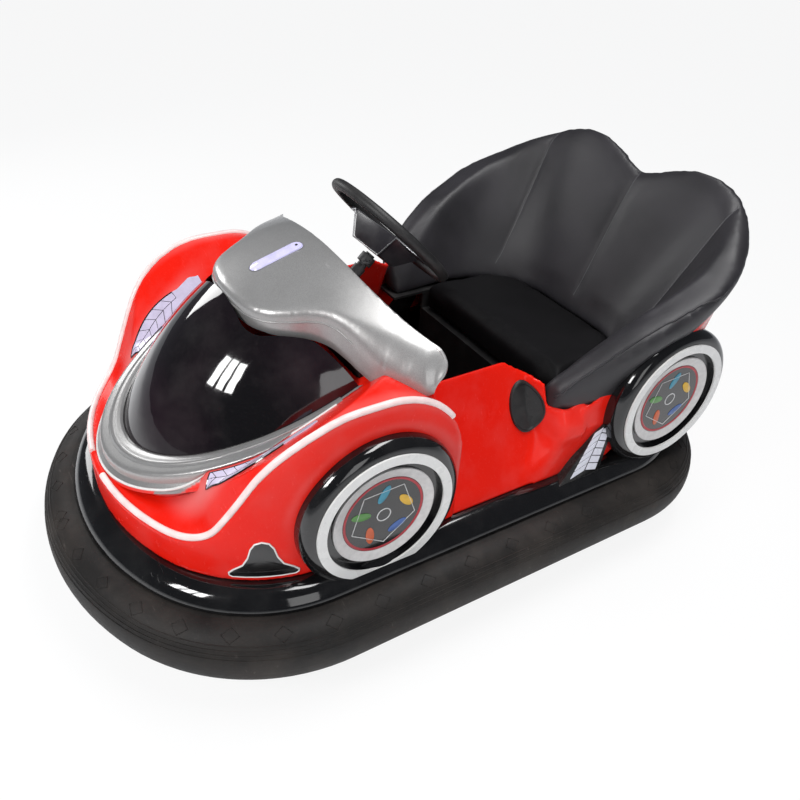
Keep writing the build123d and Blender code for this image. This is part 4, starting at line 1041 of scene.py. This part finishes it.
def build_port(tree):
    """Oval speaker port beside the armrest tip: a rounded rim and a sunk flat grille."""
    middle, wide, tall = Vector((0.75, 0.196, 0.497)), 0.045, 0.064
    rim = [tree.ray_cast(middle + Vector((0, wide * cos(angle), tall * sin(angle))),
                         Vector((-1, 0, 0)))[0] for angle in circle(96)]
    centre = sum(rim, Vector()) / len(rim)
    shares = ((1.0, -0.004), (1.0, 0.003), (0.97, 0.0065), (0.91, 0.0070), (0.87, 0.0035),
              (0.60, 0.0040), (0.30, 0.0045), (0.02, 0.0045))
    vertices = [centre.lerp(spot, share) + Vector((lift, 0, 0))
                for share, lift in shares for spot in rim]
    count = len(rim)
    faces = quads(len(shares), count, closed=True)
    faces += [tuple(range(len(vertices) - count, len(vertices))), tuple(reversed(range(count)))]
    left = sheet("PortLeft", vertices, faces)
    edit(left, OUTWARD)
    smooth(left)
    finish_pair(left, finish["black_matte"], "black_matte", "speaker_port")


def build_shelf():
    """The board under the bench, a little narrower so that the red sides cover its corners."""
    piece = node_copy("ShelfBoard", "seat_shelf")

    def narrower(co, normal):
        return Vector((-0.030 if co.x > 0.4 else 0.030 if co.x < -0.4 else 0.0, 0.0, 0.0))

    move_vertices(piece, narrower)
    smooth(piece, 30)
    finish_piece(piece, finish["black_matte"], slot="black_matte", replaces=("seat_shelf",))


def build_badge(tree):
    """Blank black shield low on the shoulder, with a white outline."""
    half = [(0.0, 1.0), (-0.20, 0.90), (-0.33, 0.60), (-0.42, 0.10), (-0.58, -0.32),
            (-0.86, -0.60), (-1.0, -0.80), (-0.99, -0.92), (-0.90, -1.0)]
    outline = half[6:] + [(-u, v) for u, v in half[:0:-1]] + half[:6]
    fine = split(outline, 5, closed=True)
    centre = Vector((0.448, -0.568, 0.374))
    way = Vector((-0.83, 0.56, 0.0)).normalized()
    along = Vector((way.y, -way.x, 0.0))
    wide, tall = 0.080, 0.056

    def ring(share):
        return [centre + along * (wide * share * u) + Vector((0, 0, tall * share * v))
                for u, v in fine]

    left = patch("BadgeLeft", [ring(s) for s in (1.0, 0.94, 0.6, 0.25)],
                 (0.0004, 0.0022, 0.0024, 0.0024), tree, way * -0.3, way, 0.0006)
    finish_pair(left, finish["black_gloss"], "black_gloss", "badge_plate")
    rim = [tree.ray_cast(point - way * 0.3, way)[0] or point for point in ring(0.97)]
    line = tube("BadgeLineLeft", [p - way * 0.0012 for p in rim], 0.0021, closed=True)
    finish_pair(line, finish["white_trim"])


def build_head_lamps(tree):
    """Pale lamp panels beside the screen, with black chevron lines on their lower part."""
    def spot(share, across):
        side = 0.054 + 0.050 * across * (
            0.35 + 0.65 * sin(pi * min(0.10 + share, 0.86))) * (1 - 0.4 * ease(0.90, 1.0, share))
        x, y = oval(radians(-41.5 + 28.5 * share), side)
        hit, normal, _, _ = tree.ray_cast(Vector((x, y, 0.95)), DOWN)
        return (hit + normal * 0.0012) if hit else Vector((x, y, deck_z(y)))

    columns, rows = 40, 8
    vertices = [spot(c / columns, r / rows) for c in range(columns + 1) for r in range(rows + 1)]
    left = sheet("HeadLampLeft", vertices, quads(columns + 1, rows + 1, turned=True))
    modify(left, wall(0.002, offset=0))
    smooth(left)
    finish_pair(left, lamp_white("LilacPanel", (0.56, 0.50, 0.66)), "white_lens", "headlamp")

    def line(pairs, radius=0.0014):
        dense = [spot(*pair) for pair in split(pairs, 8) + [pairs[-1]]]
        return tube("LampLine", dense, radius, sides=1)

    end = 0.70
    lines = [line([(0.0, 0.0), (0.0, 1.0), (0.18, 1.0), (0.36, 1.0), (end, 1.0)], 0.0024),
             line([(0.0, 0.0), (0.2, 0.0), (0.4, 0.0)], 0.0018),
             line([(0.0, 0.5), (0.3, 0.5), (end, 0.5)]), line([(end, 1.0), (end, 0.5)])]
    for share in (0.02 + 0.11 * step for step in range(6)):
        lines += [line([(share, side), (share + 0.07, 0.5)]) for side in (1.0, 0.0)]
    finish_pair(joined("LampLinesLeft", lines), finish["black_gloss"])


def build_side_lamps():
    """Leaf-shaped black side lamps that lean on the skirt, with white chevron panes."""
    foot_front, foot_back = Vector((0.522, 0.285, 0.303)), Vector((0.522, 0.382, 0.303))
    top_front, top_back = Vector((0.502, 0.366, 0.424)), Vector((0.502, 0.424, 0.427))

    def spot(across, up, out=0.0):
        point = foot_front.lerp(foot_back, across).lerp(top_front.lerp(top_back, across), up)
        return point + Vector((0.90, 0.0, 0.43)) * out

    leaf = [(-0.26, -0.10), (1.12, -0.10), (1.18, 0.10), (1.22, 0.60), (1.30, 1.05), (1.10, 1.26),
            (0.75, 1.20), (0.20, 0.92), (-0.08, 0.52), (-0.22, 0.10)]
    vertices = [spot(u, v) for u, v in leaf] + [spot(u, v, -0.050) for u, v in leaf]
    count = len(leaf)
    faces = [tuple(range(count)), tuple(range(2 * count - 1, count - 1, -1))]
    left = sheet("SideLampLeft", vertices, faces + quads(2, count, closed=True, turned=True))
    edit(left, OUTWARD)
    modify(left, rounded(0.004, 3))
    smooth(left)
    finish_pair(left, paint("LampFrame", (0.003, 0.003, 0.0035), 0.22, specular=0.2),
                "black_gloss", "side_lamp")
    vertices = []
    for low in (0.02 + 0.165 * row for row in range(6)):
        high = low + 0.145
        for start, end, tip in ((0.04, 0.48, -0.045), (0.54, 0.98, 0.045)):
            vertices += [spot(start, low + tip + 0.04, 0.001), spot(end, low - tip + 0.04, 0.001),
                         spot(end, min(high - tip + 0.04, 1.04), 0.001),
                         spot(start, min(high + tip + 0.04, 1.0), 0.001)]
    faces = [tuple(range(start, start + 4)) for start in range(0, len(vertices), 4)]
    panels = sheet("SidePanesLeft", vertices, faces)
    thick = 0.0016
    modify(panels, wall(thick, offset=0), rounded(thick * 0.3))
    finish_pair(panels, lamp_white("PaneWhite", (0.66, 0.66, 0.74), 0.05))


# ---- wheel discs and skirt ----


def lathe(name, profile, place):
    """A profile of (x, radius) points turned about the X axis through place."""
    points = [(x, radius, 0.0) for x, radius in profile]
    piece = sheet(name, points, [], [(i, i + 1) for i in range(len(points) - 1)])
    modify(piece, ("SCREW", {"axis": "X", "steps": 72, "render_steps": 72,
                             "use_merge_vertices": True}))
    piece.location = place
    settle(piece)
    edit(piece, weld(0.00005), OUTWARD)
    smooth(piece, 35)
    return piece


def build_wheel(label, centre, cone_paint, red_line, petals, hub_paint):
    """What lies in a dummy wheel's dish, left side and its twin."""
    turned = (("DishCone", cone_paint, ((-0.0060, 0.133), (-0.0052, 0.131), (-0.0070, 0.124),
                                        (-0.0112, 0.1085), (-0.0119, 0.1065), (-0.0119, 0.133),
                                        (-0.0060, 0.133))),
              ("RedLine", red_line, ((-0.0119, 0.1060), (-0.0106, 0.1050), (-0.0106, 0.1005),
                                     (-0.0119, 0.0990), (-0.0119, 0.1060))),
              ("HubRing", hub_paint, ((-0.0119, 0.0190), (-0.0105, 0.0185), (-0.0105, 0.0165),
                                      (-0.0119, 0.0160), (-0.0119, 0.0190))))
    twins = [(finish_piece(lathe(stem + label, profile, centre), paint), stem)
             for stem, paint, profile in turned]

    def spot(depth, radius, angle):
        return centre + Vector((-depth, radius * cos(angle), radius * sin(angle)))

    angles = [angle + 0.35 for angle in circle(len(petals))]
    for index, (angle, colour) in enumerate(zip(angles, petals)):
        place = spot(0.0112, 0.062, angle)
        petal = cylinder("Petal%s%d" % (label, index), place, (1, 0, 0), 0.026, 0.0012, 28, 0.0004)
        about = {"orient_axis": "X", "center_override": place}
        edit(petal, (bpy.ops.transform.rotate, {"value": -angle, **about}),
             (bpy.ops.transform.resize, {"value": (1, 1, 0.42), "center_override": place}),
             (bpy.ops.transform.rotate, {"value": angle + 0.5, **about}))
        twins.append((finish_piece(petal, colour), "PetalTwin%d" % index))
    half = pi / len(petals)
    sides = [tube("Edge", [spot(0.0113, 0.088, angle + turn) for turn in (-half, half)], 0.0011,
                  sides=1) for angle in angles]
    twins.append((finish_piece(joined("DiscLines" + label, sides), hub_paint), "DiscLines"))
    for piece, stem in twins:
        finish_piece(mirrored_copy(piece, stem + label + "Right"), None)


def build_wheels():
    """Discs of all four dummy wheels."""
    cone = paint("DishPale", (0.60, 0.58, 0.57), 0.28, coat=0.4)
    red = paint("DiscRed", (0.42, 0.012, 0.025), 0.30)
    hub = paint("HubPale", (0.62, 0.62, 0.62), 0.35)
    petals = [paint("Petal" + name, colour, 0.30)
              for name, colour in (("Yellow", (0.72, 0.42, 0.02)), ("Teal", (0.03, 0.26, 0.38)),
                                   ("Green", (0.08, 0.26, 0.05)), ("Orange", (0.60, 0.10, 0.02)),
                                   ("Blue", (0.05, 0.12, 0.36)))]
    build_wheel("Front", FRONT_WHEEL, cone, red, petals, hub)
    build_wheel("Rear", REAR_WHEEL, cone, red, petals, hub)


def build_skirt_roll():
    """The skirt's glossy rounded face, all round the car."""
    profile = [(0.100, 0.2516), (0.0885, 0.2522), (0.0868, 0.2575), (0.0885, 0.2635),
               (0.0945, 0.2745), (0.1035, 0.2850), (0.1150, 0.2935), (0.1280, 0.2990),
               (0.1410, 0.3015), (0.1490, 0.3018)]
    vertices = [(p.x, p.y, z) for inset, z in profile for p in whole_line(inset, 30)]
    count = len(vertices) // len(profile)
    piece = sheet("SkirtRoll", vertices, quads(len(profile), count, closed=True))
    edit(piece, weld(0.00005), OUTWARD)
    modify(piece, wall(0.002))
    smooth(piece, 50)
    finish_piece(piece, finish["black_gloss"])


def rubber_point(turn):
    """Inset and height of a point on the rubber ring's rounded upper shoulder."""
    angle, radius, start = radians(turn), 0.074, 0.177
    return radius * (1 - cos(angle)), start + radius * sin(angle)


def build_rubber_marks():
    """Moulded ribs and diamonds on the rubber ring."""
    ribs = []
    for turn in (22, 30, 38, 46):
        inset, height = rubber_point(turn)
        line = [(p.x, p.y, height) for p in whole_line(inset + 0.0002, 28)]
        ribs.append(tube("Rib", line, 0.0016, closed=True, sides=1))
    finish_piece(joined("RubberRibs", ribs), finish["bumper_rubber"])
    outline = whole_line(0.0, 60)
    marks, walked, step = [], 0.0, 0.128
    for first, second in zip(outline, outline[1:] + outline[:1]):
        length = (second - first).length
        while walked < length:
            base = first.lerp(second, walked / length)
            along = (second - first).normalized()
            inward = Vector((-along.y, along.x))
            corners = []
            for u, turn in ((-0.021, 64), (0.0, 78), (0.021, 64), (0.0, 50)):
                inset, height = rubber_point(turn)
                corners.append((*(base + along * u + inward * inset), height + 0.0002))
            marks.append(tube("Diamond", corners, 0.0011, closed=True, sides=1))
            walked += step
        walked -= length
    finish_piece(joined("RubberDiamonds", marks), finish["bumper_rubber"])


# ---- cowl lamp and steering ----


def build_cowl_lamp(tree):
    """Slot lamp on the cowl: lilac cover, dark outline and its screw."""
    def slot(half_length, half_width, lift):
        points = []
        for angle in circle(48):
            y = -0.322 + half_width * sin(angle) + (half_length - half_width) * (
                1 if sin(angle) >= 0 else -1)
            hit, normal, _, _ = tree.ray_cast(Vector((half_width * cos(angle), y, 1.2)), DOWN)
            points.append(hit + normal * lift)
        return points

    rings = [slot(0.069 * s, 0.018 * s, 0.0) for s in (1.0, 0.96, 0.5, 0.1)]
    cover = patch("CowlLampCover", rings, (0.0005, 0.0032, 0.0040, 0.0042), tree, DOWN * -0.3,
                  DOWN, 0.0012)
    finish_piece(cover, lamp_white("LampLilac", (0.58, 0.55, 0.82)), slot="white_lens",
                 replaces=("cowl_lamp",))
    finish_piece(tube("CowlLampRim", slot(0.0705, 0.0195, 0.0002), 0.0012, closed=True, sides=1),
                 paint("RimGrey", (0.16, 0.16, 0.17), 0.4))
    hit, normal, _, _ = tree.ray_cast(Vector((0, -0.268, 1.2)), DOWN)
    finish_piece(cylinder("CowlLampScrew", hit + normal * 0.0048, normal, 0.0032, 0.0024, 16,
                          0.0005), finish["steel"])


def cube(name, place, bevel, shape):
    """A box whose points are moved by shape, with rounded edges."""
    take()
    MESH.primitive_cube_add(size=1)
    piece = named(name)
    for vertex in piece.data.vertices:
        vertex.co = Vector(shape(*vertex.co)) + Vector(place)
    modify(piece, rounded(bevel))
    return piece


def build_steering():
    """Faceted hub box with two spokes, a bright lower edge and a clamp lever."""
    turn = Matrix.Translation((0, 0, 0.869)) @ Matrix.Rotation(-radians(46), 4, "X")
    axis = turn.to_3x3() @ Vector((0, 0, 1))

    def hub_shape(x, y, z):
        return (x * 0.206, y * 0.112, 0.0) if z > 0 else (x * 0.128, y * 0.066, -0.060)

    def ride(piece, material, **more):
        finish_piece(piece, material, body="steering", **more)

    parts = [cube("HubBox", (0, 0, -0.010), 0.007, hub_shape)]
    for side in (-1, 1):
        parts.append(cube("Spoke", (side * 0.136, 0, -0.010), 0.003, lambda x, y, z: (
            x * 0.086, y * 0.040 * (1.7 if x * side < 0 else 1.0), z * 0.010)))
    hub = joined("HubBox", parts)
    hub.matrix_world = turn
    settle(hub)
    smooth(hub, 30)
    ride(hub, paint("HubSatin", (0.020, 0.018, 0.022), 0.30), slot="black_matte",
         replaces=("steering_hub",))
    chrome = paint("SpokeChrome", (0.36, 0.36, 0.37), 0.28, metallic=0.8)
    corners = [(-0.170, -0.016, -0.013), (-0.104, -0.055, -0.012), (-0.064, -0.033, -0.071),
               (0.064, -0.033, -0.071), (0.104, -0.055, -0.012), (0.170, -0.016, -0.013)]
    ride(tube("HubEdge", [turn @ Vector(c) for c in corners], 0.0022, sides=2), chrome)
    screws = [cylinder("SpokeScrew", turn @ Vector((side * 0.150, across, -0.004)), axis, 0.0045,
                       0.003, 16, 0.0006) for side in (-1, 1) for across in (-0.012, 0.012)]
    ride(joined("SpokeScrews", screws), finish["steel"])
    ride(cylinder("ColumnClamp", turn @ Vector((0, 0, -0.096)), axis, 0.021, 0.026, 32, 0.002),
         finish["steel"])
    path = [(0.018, -0.004, -0.096), (0.030, -0.010, -0.098), (0.040, -0.022, -0.104),
            (0.043, -0.040, -0.112)]
    ride(tube("ClampLever", [turn @ Vector(c) for c in path], 0.0036, sides=2), chrome)


front_body = build_front_body()
rear_body = build_rear_body()
build_collar()
collar_band = build_collar_band()
cowl_cover = build_cowl()
build_strips(surface(front_body))
build_collar_line(collar_band, surface(front_body))
seat_tub = build_seat_tub()
build_cushion()
build_seams(surface(seat_tub))
build_port(surface(rear_body))
build_shelf()
build_badge(surface(front_body))
build_head_lamps(surface(front_body))
build_side_lamps()
build_wheels()
build_skirt_roll()
build_rubber_marks()
build_cowl_lamp(surface(cowl_cover))
build_steering()

# ---- light, floor and camera ----


def softbox(name, place, size, power):
    """A large soft lamp aimed at the car."""
    data = bpy.data.lights.new(name, "AREA")
    data.shape = "RECTANGLE"
    data.size, data.size_y = size
    data.energy = power
    lamp = added(name, data)
    lamp.location = place
    aim = Vector((0, 0, 0.4)) - Vector(place)
    lamp.rotation_euler = aim.to_track_quat("-Z", "Y").to_euler()


def chosen(tree, factor, first, second):
    """A mix of two shaders."""
    return add_node(tree, "MixShader", {0: factor, 1: first, 2: second}).outputs[0]


def studio():
    """White world, pale floor and soft lamps."""
    world = bpy.data.worlds.new("Studio")
    SCENE.world = world
    world.use_nodes = True
    tree = world.node_tree
    back, dim, white = (
        add_node(tree, "Background", {"Color": (*colour, 1.0), "Strength": strength}).outputs[0]
        for colour, strength in (((0.80, 0.83, 0.88), 0.55), ((0.30, 0.32, 0.36), 0.30),
                                 ((1, 1, 1), 1.0)))
    path = add_node(tree, "LightPath", {})
    seen = chosen(tree, path.outputs["Is Glossy Ray"], back, dim)
    tree.links.new(chosen(tree, path.outputs["Is Camera Ray"], seen, white),
                   tree.nodes["World Output"].inputs["Surface"])
    for index, shift in enumerate((-0.42, 0.0, 0.42)):
        softbox("KeyLamp%d" % index, (0.9 + shift, -3.2 + 0.25 * shift, 2.6), (0.32, 0.9), 24)
    softbox("TopLamp", (0.5, 0.6, 3.6), (2.8, 0.8), 80)
    softbox("FillLamp", (-3.2, -1.2, 1.9), (1.2, 1.2), 30)
    softbox("SideLight", (3.4, -0.6, 1.6), (1.0, 2.0), 14)
    take()
    MESH.primitive_plane_add(size=60, location=(0, 0, 0))
    floor = named("StudioFloor")
    made, tree, shader, _ = material("FloorWhite", (0.86, 0.86, 0.86), 0.9)
    glow = add_node(tree, "Emission", {"Strength": 1.0}).outputs[0]
    path = add_node(tree, "LightPath", {})
    lit = chosen(tree, 0.88, shader.outputs[0], glow)
    tree.links.new(chosen(tree, path.outputs["Is Camera Ray"], shader.outputs[0], lit),
                   tree.nodes["Material Output"].inputs["Surface"])
    floor.data.materials.append(made)
    SCENE.view_settings.view_transform = "Standard"


def camera():
    """Three-quarter view from the driver's left, above the nose."""
    azimuth, lift, roll = radians(58.343), radians(34.516), radians(2.897)
    target, distance = Vector((0.0, -0.025, 0.4)), 2.232
    right = Vector((cos(azimuth), sin(azimuth), 0.0))
    up = Vector((-sin(azimuth) * sin(lift), cos(azimuth) * sin(lift), cos(lift)))
    back = Vector((sin(azimuth) * cos(lift), -cos(azimuth) * cos(lift), sin(lift)))
    across = right * cos(roll) + up * sin(roll)
    upward = up * cos(roll) - right * sin(roll)
    data = bpy.data.cameras.new("Camera")
    data.sensor_width = 36.0
    data.lens = 34.18
    data.shift_x, data.shift_y = 0.0319, -0.0227
    data.clip_start = 0.02
    made = added("Camera", data)
    made.matrix_world = Matrix.Translation(target + back * distance) @ Matrix(
        (across, upward, back)).transposed().to_4x4()
    SCENE.camera = made


studio()
camera()
